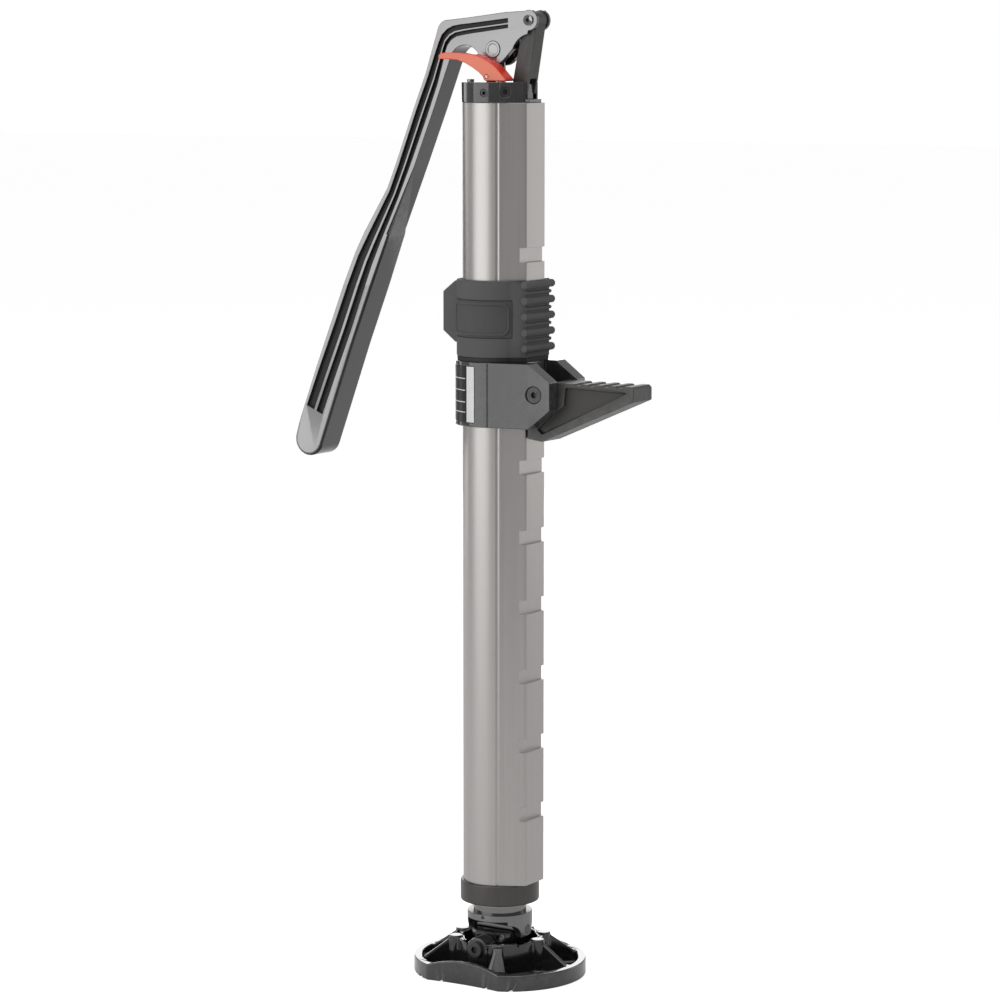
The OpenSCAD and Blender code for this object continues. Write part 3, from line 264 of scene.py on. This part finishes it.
class Effects:
    """Builds each shared node group once."""

    def __init__(self) -> None:
        """Start with no groups."""
        self.groups: dict[Effect, bpy.types.NodeTree] = {}

    def tree(self, effect: Effect) -> bpy.types.NodeTree:
        """Give the group of an effect, built on first use."""
        if effect not in self.groups:
            makers: dict[Effect, Callable[[bpy.types.NodeTree], None]] = {
                Effect.GRAIN: self.grain, Effect.STREAK: self.streak,
                Effect.SPECK: self.speck, Effect.EDGE: self.edge}
            made = bpy.data.node_groups.new(effect.value, "ShaderNodeTree")
            makers[effect](made)
            self.groups[effect] = made
        return self.groups[effect]

    @staticmethod
    def sockets(tree: bpy.types.NodeTree, inputs: dict[str, float],
                outputs: Iterable[str]) -> tuple[bpy.types.Node, bpy.types.Node]:
        """Give a group its sockets.

        Args:
            tree: the group.
            inputs: names and default values.
            outputs: names.

        Returns:
            The group's input node and output node.
        """
        kind = "NodeSocketFloat"
        for name, value in inputs.items():
            made = tree.interface.new_socket(name, in_out="INPUT", socket_type=kind)
            made.default_value = value
        for name in outputs:
            tree.interface.new_socket(name, in_out="OUTPUT", socket_type=kind)
        return tree.nodes.new("NodeGroupInput"), tree.nodes.new("NodeGroupOutput")

    @staticmethod
    def noise(graph: Graph, scale: object, detail: float,
              stretch: Triple = (1.0, 1.0, 1.0)) -> bpy.types.NodeSocket:
        """Place a noise on Object coordinates, squeezed by stretch, and give its value."""
        place = graph.node("ShaderNodeTexCoord")
        mapping = graph.node("ShaderNodeMapping")
        mapping.inputs["Scale"].default_value = stretch
        graph.join(place.outputs["Object"], mapping.inputs["Vector"])
        made = graph.node("ShaderNodeTexNoise")
        made.inputs["Detail"].default_value = detail
        graph.join(mapping.outputs["Vector"], made.inputs["Vector"])
        graph.feed(scale, made.inputs["Scale"])
        return made.outputs[0]

    def grain(self, tree: bpy.types.NodeTree) -> None:
        """Cast or moulded grain: a fine height and a broad mask."""
        start, end = self.sockets(tree, {"Scale": 900.0, "Broad": 14.0}, ("Height", "Mask"))
        graph = Graph(tree)
        fine = self.noise(graph, start.outputs["Scale"], 3.0)
        broad = self.noise(graph, start.outputs["Broad"], 4.0)
        graph.join(fine, end.inputs["Height"])
        raised = graph.maths("MULTIPLY", broad, 1.25)
        graph.join(graph.maths("SMOOTH_MIN", raised, 1.0), end.inputs["Mask"])

    def streak(self, tree: bpy.types.NodeTree) -> None:
        """Streaks drawn along Z, as on an extruded or turned tube."""
        start, end = self.sockets(tree, {"Scale": 260.0}, ("Height", "Mask"))
        graph = Graph(tree)
        fine = self.noise(graph, start.outputs["Scale"], 6.0, (1.0, 1.0, 0.006))
        wide = graph.maths("MULTIPLY", start.outputs["Scale"], 0.12)
        broad = self.noise(graph, wide, 3.0, (1.0, 1.0, 0.03))
        graph.join(fine, end.inputs["Height"])
        fine_share = graph.maths("MULTIPLY", fine, 0.6)
        broad_share = graph.maths("MULTIPLY", broad, 0.4)
        graph.join(graph.maths("ADD", fine_share, broad_share), end.inputs["Mask"])

    def speck(self, tree: bpy.types.NodeTree) -> None:
        """Sparse small specks of dust."""
        start, end = self.sockets(tree, {"Scale": 700.0, "Amount": 0.12}, ("Mask",))
        graph = Graph(tree)
        cells = graph.node("ShaderNodeTexVoronoi", feature="F1")
        place = graph.node("ShaderNodeTexCoord")
        graph.join(place.outputs["Object"], cells.inputs["Vector"])
        graph.join(start.outputs["Scale"], cells.inputs["Scale"])
        near = graph.maths("SUBTRACT", start.outputs["Amount"], cells.outputs["Distance"],
                           clamp=True)
        sparse = graph.maths("GREATER_THAN", self.noise(graph, 60.0, 2.0), 0.56)
        dots = graph.maths("MULTIPLY", near, 8.0, clamp=True)
        graph.join(graph.maths("MULTIPLY", dots, sparse), end.inputs["Mask"])

    def edge(self, tree: bpy.types.NodeTree) -> None:
        """A mask along rounded edges, broken up by noise: edge wear and a painted highlight."""
        start, end = self.sockets(tree, {"Sharpness": 9.0}, ("Mask",))
        graph = Graph(tree)
        bend = graph.node("ShaderNodeNewGeometry").outputs["Pointiness"]
        rise = graph.maths("SUBTRACT", bend, 0.52)
        ridge = graph.maths("MULTIPLY", rise, start.outputs["Sharpness"], clamp=True)
        worn_and_highlit = graph.maths("MULTIPLY", ridge, self.noise(graph, 120.0, 5.0))
        graph.join(worn_and_highlit, end.inputs["Mask"])


DUST_COLOUR: Colour = (0.5, 0.49, 0.47, 1.0)


@dataclass(frozen=True)
class Finish:
    """One surface finish.

    Attributes:
        name: the material's name.
        slot: the record's slot that it belongs to.
        colour: the main colour.
        second: the colour that the effect's mask mixes in.
        rough: roughness where the mask is 0 and where it is 1.
        metallic: how metallic it is.
        coat: weight of the clear coat.
        coat_rough: roughness of the clear coat.
        bump: strength of the bump.
        bump_mm: depth of the bump, in millimetres.
        scale: scale of the fine pattern.
        broad: scale of the broad pattern.
        effect: the effect that gives the mask and the height.
        dust: how much the specks of dust show.
        edge_wear_and_highlight: how much the lighter convex edges show, as edge wear and as a
            painted highlight.
        edge_wear_and_highlight_colour: colour of those edges, for both the wear and the painted
            highlight.
        anisotropic: how far reflections stretch along the streaks.
        specular: level of the plain reflection.
    """

    name: str
    slot: str
    colour: Colour
    second: Colour
    rough: Pair
    metallic: float = 0.0
    coat: float = 0.0
    coat_rough: float = 0.08
    bump: float = 0.12
    bump_mm: float = 0.05
    scale: float = 900.0
    broad: float = 14.0
    effect: Effect = Effect.GRAIN
    dust: float = 0.0
    edge_wear_and_highlight: float = 0.0
    edge_wear_and_highlight_colour: Colour = (0.5, 0.5, 0.5, 1.0)
    anisotropic: float = 0.0
    specular: float = 0.5

    def material(self, effects: Effects) -> bpy.types.Material:
        """Build the finish as a material.

        Args:
            effects: the shared node groups.

        Returns:
            The material.
        """
        made = bpy.data.materials.new(self.name)
        made.use_nodes = True
        graph = Graph(made.node_tree)
        shader = made.node_tree.nodes["Principled BSDF"]
        group = graph.node("ShaderNodeGroup", node_tree=effects.tree(self.effect))
        group.inputs["Scale"].default_value = self.scale
        if "Broad" in group.inputs:
            group.inputs["Broad"].default_value = self.broad
        mask = group.outputs["Mask"]
        colour = graph.mix(mask, self.colour, self.second)
        rough = graph.spread(mask, *self.rough)
        # The specks are real dust; the edge mask lightens convex edges, as edge wear and as a
        # painted highlight.
        for amount, effect, tint in ((self.dust, Effect.SPECK, DUST_COLOUR),
                                     (self.edge_wear_and_highlight, Effect.EDGE, self.edge_wear_and_highlight_colour)):
            if amount:
                over = graph.node("ShaderNodeGroup", node_tree=effects.tree(effect))
                share = graph.maths("MULTIPLY", over.outputs["Mask"], amount)
                colour = graph.mix(share, colour, tint)
        graph.join(colour, shader.inputs["Base Color"])
        graph.join(rough, shader.inputs["Roughness"])
        shader.inputs["Metallic"].default_value = self.metallic
        shader.inputs["Coat Weight"].default_value = self.coat
        shader.inputs["Coat Roughness"].default_value = self.coat_rough
        shader.inputs["Specular IOR Level"].default_value = self.specular
        shader.inputs["Anisotropic"].default_value = self.anisotropic
        graph.bump(group.outputs["Height"], self.bump, self.bump_mm, shader)
        return made


def grey(value: float, warm: float = 0.0) -> Colour:
    """Give a grey, with a little warmth added to red and taken from blue."""
    return (value * (1 + warm), value, value * (1 - warm), 1.0)


# The edge setting in these rows lightens convex edges: edge wear, and a painted highlight.
FINISHES: tuple[Finish, ...] = (
    Finish("black_gloss", "black_cast", grey(0.009), grey(0.016), (0.08, 0.16), coat=0.9,
           coat_rough=0.03, bump=0.06, bump_mm=0.02, scale=420.0, dust=0.12, edge_wear_and_highlight=0.5),
    Finish("black_satin", "dark_steel", grey(0.03), grey(0.06), (0.24, 0.4), metallic=0.7,
           scale=1400.0, edge_wear_and_highlight=0.5),
    Finish("bright_zinc", "bright_steel", grey(0.28), grey(0.4), (0.2, 0.36), metallic=1.0,
           scale=1200.0),
    Finish("turned_steel", "ground_steel", grey(0.16), grey(0.24), (0.22, 0.36), metallic=1.0,
           scale=900.0),
    Finish("hard_chrome", "chrome_rod", grey(0.2), grey(0.26), (0.06, 0.12), metallic=1.0,
           bump=0.03, scale=600.0),
    Finish("anodised_tube", "anodised_tube", grey(0.42, 0.035), grey(0.55, 0.035), (0.26, 0.4),
           metallic=0.95, effect=Effect.STREAK, bump=0.18, bump_mm=0.02, scale=900.0,
           anisotropic=0.3),
    Finish("collar_steel", "collar_metal", grey(0.2), grey(0.28), (0.22, 0.36), metallic=0.95,
           effect=Effect.STREAK, scale=700.0, bump=0.1),
    Finish("gland_steel", "gland_metal", grey(0.085, 0.04), grey(0.11, 0.04), (0.28, 0.38),
           metallic=0.85, effect=Effect.STREAK, scale=700.0, bump=0.12),
    Finish("handle_gloss", "handle_cast", grey(0.01), grey(0.018), (0.1, 0.2), coat=0.8,
           coat_rough=0.05, bump=0.06, bump_mm=0.02, scale=500.0, dust=0.12, edge_wear_and_highlight=0.5),
    Finish("hook_satin", "hook_cast", grey(0.022, 0.06), grey(0.042, 0.08), (0.34, 0.5),
           bump=0.3, bump_mm=0.08, scale=700.0, edge_wear_and_highlight=0.6, dust=0.2),
    Finish("red_paint", "red_lever", (0.78, 0.035, 0.018, 1.0), (0.88, 0.06, 0.026, 1.0),
           (0.26, 0.38), coat=0.4, bump=0.1, scale=600.0),
    Finish("grip_rubber", "sleeve_rubber", grey(0.075), grey(0.105), (0.6, 0.78), bump=0.35,
           bump_mm=0.06, scale=1100.0, dust=0.3),
    Finish("badge_rubber", "badge_rubber", grey(0.062), grey(0.085), (0.62, 0.8), bump=0.35,
           bump_mm=0.06, scale=1100.0, dust=0.3),
    Finish("ring_rubber", "ring_rubber", grey(0.01), grey(0.018), (0.5, 0.65), bump=0.25,
           scale=900.0),
    Finish("nylon", "pad_plastic", grey(0.6, 0.04), grey(0.68, 0.04), (0.4, 0.55), scale=800.0),
    Finish("wiper_lip", "wiper_plastic", grey(0.4, 0.03), grey(0.5, 0.03), (0.3, 0.45),
           scale=700.0),
    Finish("seal_compound", "seal_rubber", (0.012, 0.04, 0.02, 1.0), (0.02, 0.055, 0.03, 1.0),
           (0.45, 0.6), scale=800.0),
    Finish("bronze", "bronze", (0.5, 0.28, 0.11, 1.0), (0.6, 0.36, 0.16, 1.0), (0.25, 0.4),
           metallic=1.0, scale=900.0),
    Finish("spring_wire", "spring_steel", grey(0.4), grey(0.5), (0.2, 0.32), metallic=1.0,
           scale=1600.0),
)
POLISHED = Finish("polished_black", "handle_cast", grey(0.25), grey(0.31), (0.14, 0.24),
                  metallic=0.9, bump=0.08, bump_mm=0.02, scale=500.0)
# A lighter copy of the lever's red paint for its Y-facing sides: a painted highlight.
RED_PAINTED_HIGHLIGHT = Finish("red_paint_painted_highlight", "red_lever", (0.84, 0.17, 0.09, 1.0), (0.9, 0.22, 0.12, 1.0),
                  (0.3, 0.42), coat=0.3, bump=0.1, scale=600.0)
CHANNEL = Finish("channel_black", "handle_cast", grey(0.008), grey(0.02), (0.3, 0.5), bump=0.3,
                 bump_mm=0.05, scale=600.0, specular=0.3)
LABEL_BAND_FROM = -106.0  # degrees round the column where the label's white band starts
LABEL_RULES_TO = -109.0  # degrees where its rules end
LABEL_RULES = (0.5735, 0.5625, 0.5515, 0.5420)  # heights of its rules, in metres
LABEL_RULE_HALF = 0.0004  # half the width of a rule, in metres


class Paints:
    """All finishes as materials, found by the record's slot."""

    def __init__(self) -> None:
        """Build every finish."""
        self.effects = Effects()
        self.by_slot = {finish.slot: finish.material(self.effects) for finish in FINISHES}
        self.by_slot["label_film"] = self.label()
        self.polished = POLISHED.material(self.effects)
        self.channel = CHANNEL.material(self.effects)
        # Lighter red for the lever's sides: a painted highlight.
        self.red_painted_highlight = RED_PAINTED_HIGHLIGHT.material(self.effects)
        self.slots = {row["node"]: row["material_slot"] for row in frame["record"]["subparts"]}

    def label(self) -> bpy.types.Material:
        """A printed film: a white band, and plain white rules on black."""
        made = bpy.data.materials.new("printed_film")
        made.use_nodes = True
        graph = Graph(made.node_tree)
        shader = made.node_tree.nodes["Principled BSDF"]
        place = graph.node("ShaderNodeTexCoord")
        parts = graph.node("ShaderNodeSeparateXYZ")
        graph.join(place.outputs["Object"], parts.inputs["Vector"])
        turn = graph.maths("ARCTAN2", parts.outputs["Y"], parts.outputs["X"])
        band = graph.maths("GREATER_THAN", turn, math.radians(LABEL_BAND_FROM))
        rules: bpy.types.NodeSocket | None = None
        for height in LABEL_RULES:
            above = graph.maths("SUBTRACT", parts.outputs["Z"], height)
            rule = graph.maths("LESS_THAN", graph.maths("ABSOLUTE", above), LABEL_RULE_HALF)
            rules = rule if rules is None else graph.maths("MAXIMUM", rules, rule)
        inside = graph.maths("LESS_THAN", turn, math.radians(LABEL_RULES_TO))
        white = graph.maths("MAXIMUM", band, graph.maths("MULTIPLY", rules, inside))
        grain = graph.node("ShaderNodeGroup", node_tree=self.effects.tree(Effect.GRAIN))
        ink = graph.mix(grain.outputs["Mask"], grey(0.006), grey(0.012))
        film = graph.mix(grain.outputs["Mask"], grey(0.72), grey(0.82))
        graph.join(graph.mix(white, ink, film), shader.inputs["Base Color"])
        graph.join(graph.spread(grain.outputs["Mask"], 0.2, 0.34), shader.inputs["Roughness"])
        graph.bump(grain.outputs["Height"], 0.1, 0.02, shader)
        return made

    def dress(self, piece: bpy.types.Object, slot: str) -> None:
        """Give a piece one finish: the material of the named record slot."""
        piece.data.materials.clear()
        piece.data.materials.append(self.by_slot[slot])

    def dress_nodes(self) -> None:
        """Give every frame node its finish."""
        for name, node in frame["nodes"].items():
            node.data.materials.clear()
            node.data.materials.append(self.by_slot[self.slots[name]])


def report(piece: bpy.types.Object) -> None:
    """Log a finished piece."""
    LOG.info("%s: %d faces", piece.name, len(piece.data.polygons))


# ---- sub-assemblies -------------------------------------------------------------------


@dataclass
class Traced:
    """Pieces whose frame node has the right shape: each gets rounded edges and its finish.

    Attributes:
        widths: node name to the width of its edge rounding, in millimetres.
    """

    widths: dict[str, float] = field(default_factory=lambda: {
        "foot_casting": 1.3, "tilt_pin": 0.4, "knuckle": 1.2, "knuckle_screw": 0.3,
        "rod_end_collar": 0.6, "gland_ring": 1.4, "column_tube": 0.35, "pump_head": 0.7,
        "vent_screw": 0.35, "filler_plug": 0.35, "relief_valve_plug": 0.3, "pump_plunger": 0.5,
        "plunger_pin": 0.5, "link": 0.6, "hook_carrier": 0.7, "hook_bolt_nut": 0.4,
        "grip_base_ring": 0.4, "grip_sleeve": 1.0, "grip_badge": 0.5, "hook": 0.9,
        "locking_dog": 0.5})

    def build(self, paints: Paints) -> None:
        """Trace every node, round it and dress it."""
        for node, width in self.widths.items():
            piece = Bench.traced_copy(node, node + "_finished")
            Bench.round_edges(piece, width)
            paints.dress(piece, paints.slots[node])
            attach(piece, frame["nodes"][node]["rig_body"])
            report(piece)


@dataclass
class ReleaseLever:
    """The red lever: a deeper red paint, with its sides painted lighter orange-red as a painted
    highlight.

    Attributes:
        rounding: width of its edge rounding, in millimetres.
        painted_highlight_facing: how squarely a face of the sides looks along Y, at least, to get
            the painted highlight.
    """

    rounding: float = 1.1
    painted_highlight_facing: float = 0.9

    def build(self, paints: Paints) -> None:
        """Trace the lever, round it and paint its sides lighter, as a painted highlight."""
        piece = Bench.traced_copy("release_lever", "release_lever_finished")
        Bench.round_edges(piece, self.rounding, segments=3)
        paints.dress(piece, "red_lever")
        piece.data.materials.append(paints.red_painted_highlight)
        # Faces that look along Y get the lighter red: a painted highlight on the one red paint.
        for face in piece.data.polygons:
            if abs(face.normal.y) > self.painted_highlight_facing:
                face.material_index = 1
        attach(piece, "release_lever")
        report(piece)


@dataclass
class SocketScrew:
    """A screw or pin head seen end on: its own finish on a ring, dark steel inside its socket as
    painted shade, and dark on its rim.

    Attributes:
        node: the frame node.
        axis: (x, z) of its axis, in millimetres.
        band: inner and outer radius of the bright ring.
        rounding: width of its edge rounding.
    """

    node: str
    axis: Pair
    band: Pair
    rounding: float

    def build(self, paints: Paints) -> None:
        """Trace the screw, round it and darken it inside the ring, as painted shade in the socket,
        and outside the ring.
        """
        piece = Bench.traced_copy(self.node, self.node + "_finished")
        Bench.round_edges(piece, self.rounding)
        paints.dress(piece, paints.slots[self.node])
        # Dark steel inside the socket is painted shade; the rim outside the ring is darkened too.
        piece.data.materials.append(paints.by_slot["dark_steel"])
        for face in piece.data.polygons:
            middle = face.center / MM
            away = math.hypot(middle.x - self.axis[0], middle.z - self.axis[1])
            if not self.band[0] < away < self.band[1]:
                face.material_index = 1
        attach(piece, frame["nodes"][self.node]["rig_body"])
        report(piece)


@dataclass
class HandleLever:
    """The lever: polished flat faces, black channels, and a grip rounded on its inner side.

    Attributes:
        inner: points (x, z) down the grip's inner edge, in millimetres.
        tip: middle of the rounded tip.
        tip_r: the tip's radius.
        grip_top: height under which the inner edge is rounded off more.
        rounding: width of that rounding.
        edge: width of the rounding on every other edge.
        waist: (height, half thickness) down the lever.
        flat_facing: how squarely a polished face looks along Y, at least.
        flat_depth: how deep under the lever's flat a polished face lies, at most.
        channel_depth: depths between which a channel's faces lie.
        channel_end: how far forward, along X, the channels reach.
    """

    inner: tuple[Pair, ...] = ((-66, 822), (-98, 744), (-115, 703), (-136, 650), (-157, 597),
                               (-194.2, 497))
    tip: Pair = (-209.0, 503.0)
    tip_r: float = 16.0
    grip_top: float = 745.0
    rounding: float = 3.1
    edge: float = 0.55
    waist: tuple[Pair, ...] = ((1000, 12.0), (770, 12.0), (695, 15.5), (655, 17.0), (0, 17.0))
    flat_facing: float = 0.96
    flat_depth: float = 0.35
    channel_depth: Pair = (0.9, 3.6)
    channel_end: float = 20.0

    def half(self, z: float) -> float:
        """Give the lever's half thickness at a height, both in millimetres."""
        for (top, upper), (low, lower) in zip(self.waist, self.waist[1:]):
            if z >= low:
                return lower + (upper - lower) * (z - low) / (top - low)
        return self.waist[-1][1]

    def on_grip_edge(self, point: Vector) -> bool:
        """Say whether a point, in metres, lies on the grip's inner edge or round its tip."""
        x, z = point.x / MM, point.z / MM
        if z > self.grip_top or abs(point.y) / MM < self.half(z) - 0.3:
            return False
        off_tip = abs(math.hypot(x - self.tip[0], z - self.tip[1]) - self.tip_r)
        if off_tip < 0.2 and z < self.tip[1] + 6:
            return True
        for (ax, az), (bx, bz) in zip(self.inner, self.inner[1:]):
            length = math.hypot(bx - ax, bz - az)
            along = ((x - ax) * (bx - ax) + (z - az) * (bz - az)) / length
            off = abs((x - ax) * (bz - az) - (z - az) * (bx - ax)) / length
            if off < 0.5 and -1 < along < length + 1:
                return True
        return False

    def round_grip(self, piece: bpy.types.Object) -> None:
        """Round the grip's inner edge and its tip on both faces."""
        Bench.pick(piece)
        bpy.ops.object.mode_set(mode="EDIT")
        bpy.ops.mesh.select_all(action="DESELECT")
        bpy.ops.mesh.select_mode(type="EDGE")
        shape = bmesh.from_edit_mesh(piece.data)
        for edge in shape.edges:
            first, second = (v.co for v in edge.verts)
            edge.select = (first.y * second.y > 0 and abs(first.y - second.y) < 4 * MM
                           and self.on_grip_edge(first) and self.on_grip_edge(second))
        bmesh.update_edit_mesh(piece.data)
        bpy.ops.mesh.bevel(offset=self.rounding * MM, segments=5, affect="EDGES",
                           clamp_overlap=False)
        bpy.ops.object.mode_set(mode="OBJECT")

    def build(self, paints: Paints) -> None:
        """Make the lever and dress it: flat faces polished, channels black."""
        piece = Bench.traced_copy("handle_lever", "handle_lever_finished")
        self.round_grip(piece)
        Bench.round_edges(piece, self.edge, segments=3, angle=30.0)
        paints.dress(piece, "handle_cast")
        piece.data.materials.append(paints.polished)
        piece.data.materials.append(paints.channel)
        for face in piece.data.polygons:
            middle = face.center / MM
            depth = self.half(middle.z) - abs(middle.y)
            if abs(face.normal.y) > self.flat_facing and depth < self.flat_depth:
                face.material_index = 1
                face.use_smooth = False
            elif self.channel_depth[0] < depth < self.channel_depth[1] and self.in_channel(middle):
                face.material_index = 2
        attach(piece, "handle")
        report(piece)

    def in_channel(self, middle: Vector) -> bool:
        """Say whether a sunk face is a channel's, and not part of the rounded grip edge."""
        return middle.x < self.channel_end and not self.near_grip_side(middle)

    def near_grip_side(self, middle: Vector) -> bool:
        """Say whether a point, in millimetres, is on the grip's inner side."""
        outside = math.copysign(self.half(middle.z), middle.y)
        return self.on_grip_edge(Vector((middle.x, outside, middle.z)) * MM)


@dataclass
class GripSleeve:
    """The rubber sleeve's own details: a raised frame round the badge, and minor ribs in front.

    Attributes:
        radius: radius of the badge's face, in millimetres.
        middle: (degrees, height) of the frame's middle.
        half: (along the arc, up) half sizes of the frame.
        corner: the frame's corner radius.
        bead: radius of the frame's bead.
        lift: how far the bead's middle stands off that face.
        rib_x: how far forward the minor ribs stand.
        rib_z: height of the topmost one.
        rib_pitch: distance from one to the next.
        rib_r: a rib's radius.
        rib_half: half a rib's length.
        rib_count: how many there are.
    """

    radius: float = 40.2
    middle: Pair = (-95.0, 629.5)
    half: Pair = (34.0, 14.2)
    corner: float = 7.0
    bead: float = 1.3
    lift: float = 0.1
    rib_x: float = 42.0
    rib_z: float = 654.0
    rib_pitch: float = 14.8
    rib_r: float = 1.7
    rib_half: float = 22.0
    rib_count: int = 4

    def loop(self, share: float) -> Triple:
        """Walk round the rounded rectangle.

        Args:
            share: how far round, from 0 to 1.

        Returns:
            The place along the arc and up, in millimetres, and the outward direction in radians.
        """
        a, b, r = self.half[0] - self.corner, self.half[1] - self.corner, self.corner
        quarter = math.pi / 2
        sides = (2 * b, r * quarter, 2 * a, r * quarter) * 2
        left = share * sum(sides)
        for k, length in enumerate(sides):
            if left <= length or k == 7:
                break
            left -= length
        turn = (k // 2) * quarter
        if k % 2:
            angle = turn + left / r
            centre = Vector((a if k in (1, 7) else -a, b if k in (1, 3) else -b))
            return centre.x + r * math.cos(angle), centre.y + r * math.sin(angle), angle
        starts = ((a + r, -b), (a, b + r), (-a - r, b), (-a, -b - r))
        x, y = starts[k // 2]
        return x - left * math.sin(turn), y + left * math.cos(turn), turn

    def frame(self) -> bpy.types.Object:
        """Lay a bead along the rounded rectangle, wrapped round the sleeve."""
        ring = 10.0  # radius of the plain ring that is bent into the frame
        Bench.clear()
        bpy.ops.mesh.primitive_torus_add(major_segments=144, minor_segments=10,
                                         major_radius=ring * MM, minor_radius=MM)
        piece = bpy.context.object
        piece.name = piece.data.name = "badge_frame"
        for vertex in piece.data.vertices:
            share = (math.atan2(vertex.co.y, vertex.co.x) / (2 * math.pi)) % 1.0
            out = (math.hypot(vertex.co.x, vertex.co.y) - ring * MM) / MM
            s, up, angle = self.loop(share)
            s += self.bead * out * math.cos(angle)
            up += self.bead * out * math.sin(angle)
            turn = math.radians(self.middle[0]) + s / self.radius
            r = self.radius + self.lift + self.bead * vertex.co.z / MM
            height = self.middle[1] + up
            vertex.co = Vector((r * math.cos(turn), r * math.sin(turn), height)) * MM
        Bench.settle(piece)
        Bench.recalculate(piece)
        Bench.smooth(piece, 60.0)
        return piece

    def ribs(self) -> bpy.types.Object:
        """Model one minor rib, and copy it down the front."""
        whole: bpy.types.Object | None = None
        for i in range(self.rib_count):
            Bench.clear()
            z = self.rib_z - i * self.rib_pitch
            bpy.ops.mesh.primitive_cylinder_add(
                vertices=24, radius=self.rib_r * MM, depth=2 * self.rib_half * MM,
                location=(self.rib_x * MM, 0, z * MM), rotation=(math.pi / 2, 0, 0))
            rib = bpy.context.object
            Bench.settle(rib)
            Bench.round_edges(rib, 0.9, segments=3, angle=50.0)
            if whole is None:
                whole = rib
                whole.name = whole.data.name = "grip_minor_ribs"
            else:
                Bench.join(whole, rib)
        return whole

    def build(self, paints: Paints) -> None:
        """Make and dress the frame and the ribs."""
        for piece, slot in ((self.frame(), "badge_rubber"), (self.ribs(), "sleeve_rubber")):
            paints.dress(piece, slot)
            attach(piece, "carrier")
            report(piece)


@dataclass(frozen=True)
class SoftBox:
    """One soft light, hung so that it faces the middle of the jack.

    Attributes:
        name: the light's name.
        place: where it hangs, in metres.
        size: its width and height, in metres.
        glow: how bright its face looks.
    """

    name: str
    place: Triple
    size: Pair
    glow: float

    def hang(self) -> None:
        """Make the light and aim it."""
        data = bpy.data.lights.new(self.name, "AREA")
        data.shape = "RECTANGLE"
        data.size, data.size_y = self.size
        data.energy = self.glow * math.pi * self.size[0] * self.size[1]
        lamp = bpy.data.objects.new(self.name, data)
        lamp.location = self.place
        aim = Vector((0.0, 0.0, 0.45)) - Vector(self.place)
        lamp.rotation_euler = aim.to_track_quat("-Z", "Y").to_euler()
        bpy.context.scene.collection.objects.link(lamp)


SOFT_BOXES: tuple[SoftBox, ...] = (
    SoftBox("key", (-1.5, -2.8, 0.95), (3.1, 2.5), 1.4),
    SoftBox("side", (-3.1, 0.3, 1.0), (1.0, 2.2), 1.0),
    SoftBox("back", (1.7, 2.7, 1.0), (1.5, 2.2), 0.75),
    SoftBox("rear", (-1.9, 2.9, 1.1), (2.4, 2.0), 1.8),
    SoftBox("top", (0.1, -0.6, 3.3), (3.0, 2.6), 1.6),
)


@dataclass
class Studio:
    """Camera, light and floor.

    Attributes:
        place: the camera's place, in metres.
        tilt: the camera's turn about X, in degrees.
        turn: the camera's turn about Z, in degrees.
        lens: focal length, in millimetres, on a 36 mm sensor.
        surround: strength of the light that comes from all round.
        floor_size: width of the floor, in metres.
        floor_lift: how far the floor is brightened towards white where the camera sees it.
    """

    place: Triple = (1.6735, -2.678, 0.866)
    tilt: float = 82.6
    turn: float = 32.0
    lens: float = 121.3
    surround: float = 0.34
    floor_size: float = 60.0
    floor_lift: float = 0.68

    def camera(self) -> None:
        """Place the camera."""
        data = bpy.data.cameras.new("camera")
        data.lens = self.lens
        data.sensor_width = 36.0
        data.clip_end = 50.0
        eye = bpy.data.objects.new("camera", data)
        eye.location = self.place
        eye.rotation_euler = (math.radians(self.tilt), 0.0, math.radians(self.turn))
        bpy.context.scene.collection.objects.link(eye)
        bpy.context.scene.camera = eye

    def light(self) -> None:
        """Hang the soft boxes and set the surrounding light."""
        for box in SOFT_BOXES:
            box.hang()
        world = bpy.data.worlds.new("studio")
        bpy.context.scene.world = world
        world.use_nodes = True
        graph = Graph(world.node_tree)
        shade = world.node_tree.nodes["Background"]
        shade.inputs["Color"].default_value = (1.0, 1.0, 1.0, 1.0)
        seen = graph.node("ShaderNodeLightPath").outputs["Is Camera Ray"]
        graph.join(graph.spread(seen, self.surround, 1.0), shade.inputs["Strength"])

    def floor(self) -> None:
        """Lay a plain pale floor."""
        Bench.clear()
        bpy.ops.mesh.primitive_plane_add(size=self.floor_size)
        ground = bpy.context.object
        ground.name = "floor"
        made = bpy.data.materials.new("floor")
        made.use_nodes = True
        shader = made.node_tree.nodes["Principled BSDF"]
        shader.inputs["Base Color"].default_value = (0.9, 0.9, 0.9, 1.0)
        shader.inputs["Roughness"].default_value = 0.8
        shader.inputs["Specular IOR Level"].default_value = 0.1
        shader.inputs["Emission Color"].default_value = (1.0, 1.0, 1.0, 1.0)
        graph = Graph(made.node_tree)
        seen = graph.node("ShaderNodeLightPath").outputs["Is Camera Ray"]
        lift = graph.spread(seen, 0.0, self.floor_lift)
        graph.join(lift, shader.inputs["Emission Strength"])
        ground.data.materials.append(made)

    def build(self) -> None:
        """Set up the whole studio."""
        self.camera()
        self.light()
        self.floor()
        bpy.context.scene.view_settings.view_transform = "Standard"


def main() -> None:
    """Build the studio, the finishes and every sub-assembly."""
    logging.basicConfig(level=logging.INFO, format="%(message)s")
    Studio().build()
    paints = Paints()
    paints.dress_nodes()
    Traced().build(paints)
    ReleaseLever().build(paints)
    SocketScrew("hook_bolt", (57.0, 560.9), (3.3, 5.6), 0.5).build(paints)
    SocketScrew("link_pin", (38.5, 904.5), (2.4, 5.4), 0.35).build(paints)
    HandleLever().build(paints)
    GripSleeve().build(paints)


if __name__ == "__main__":
    main()
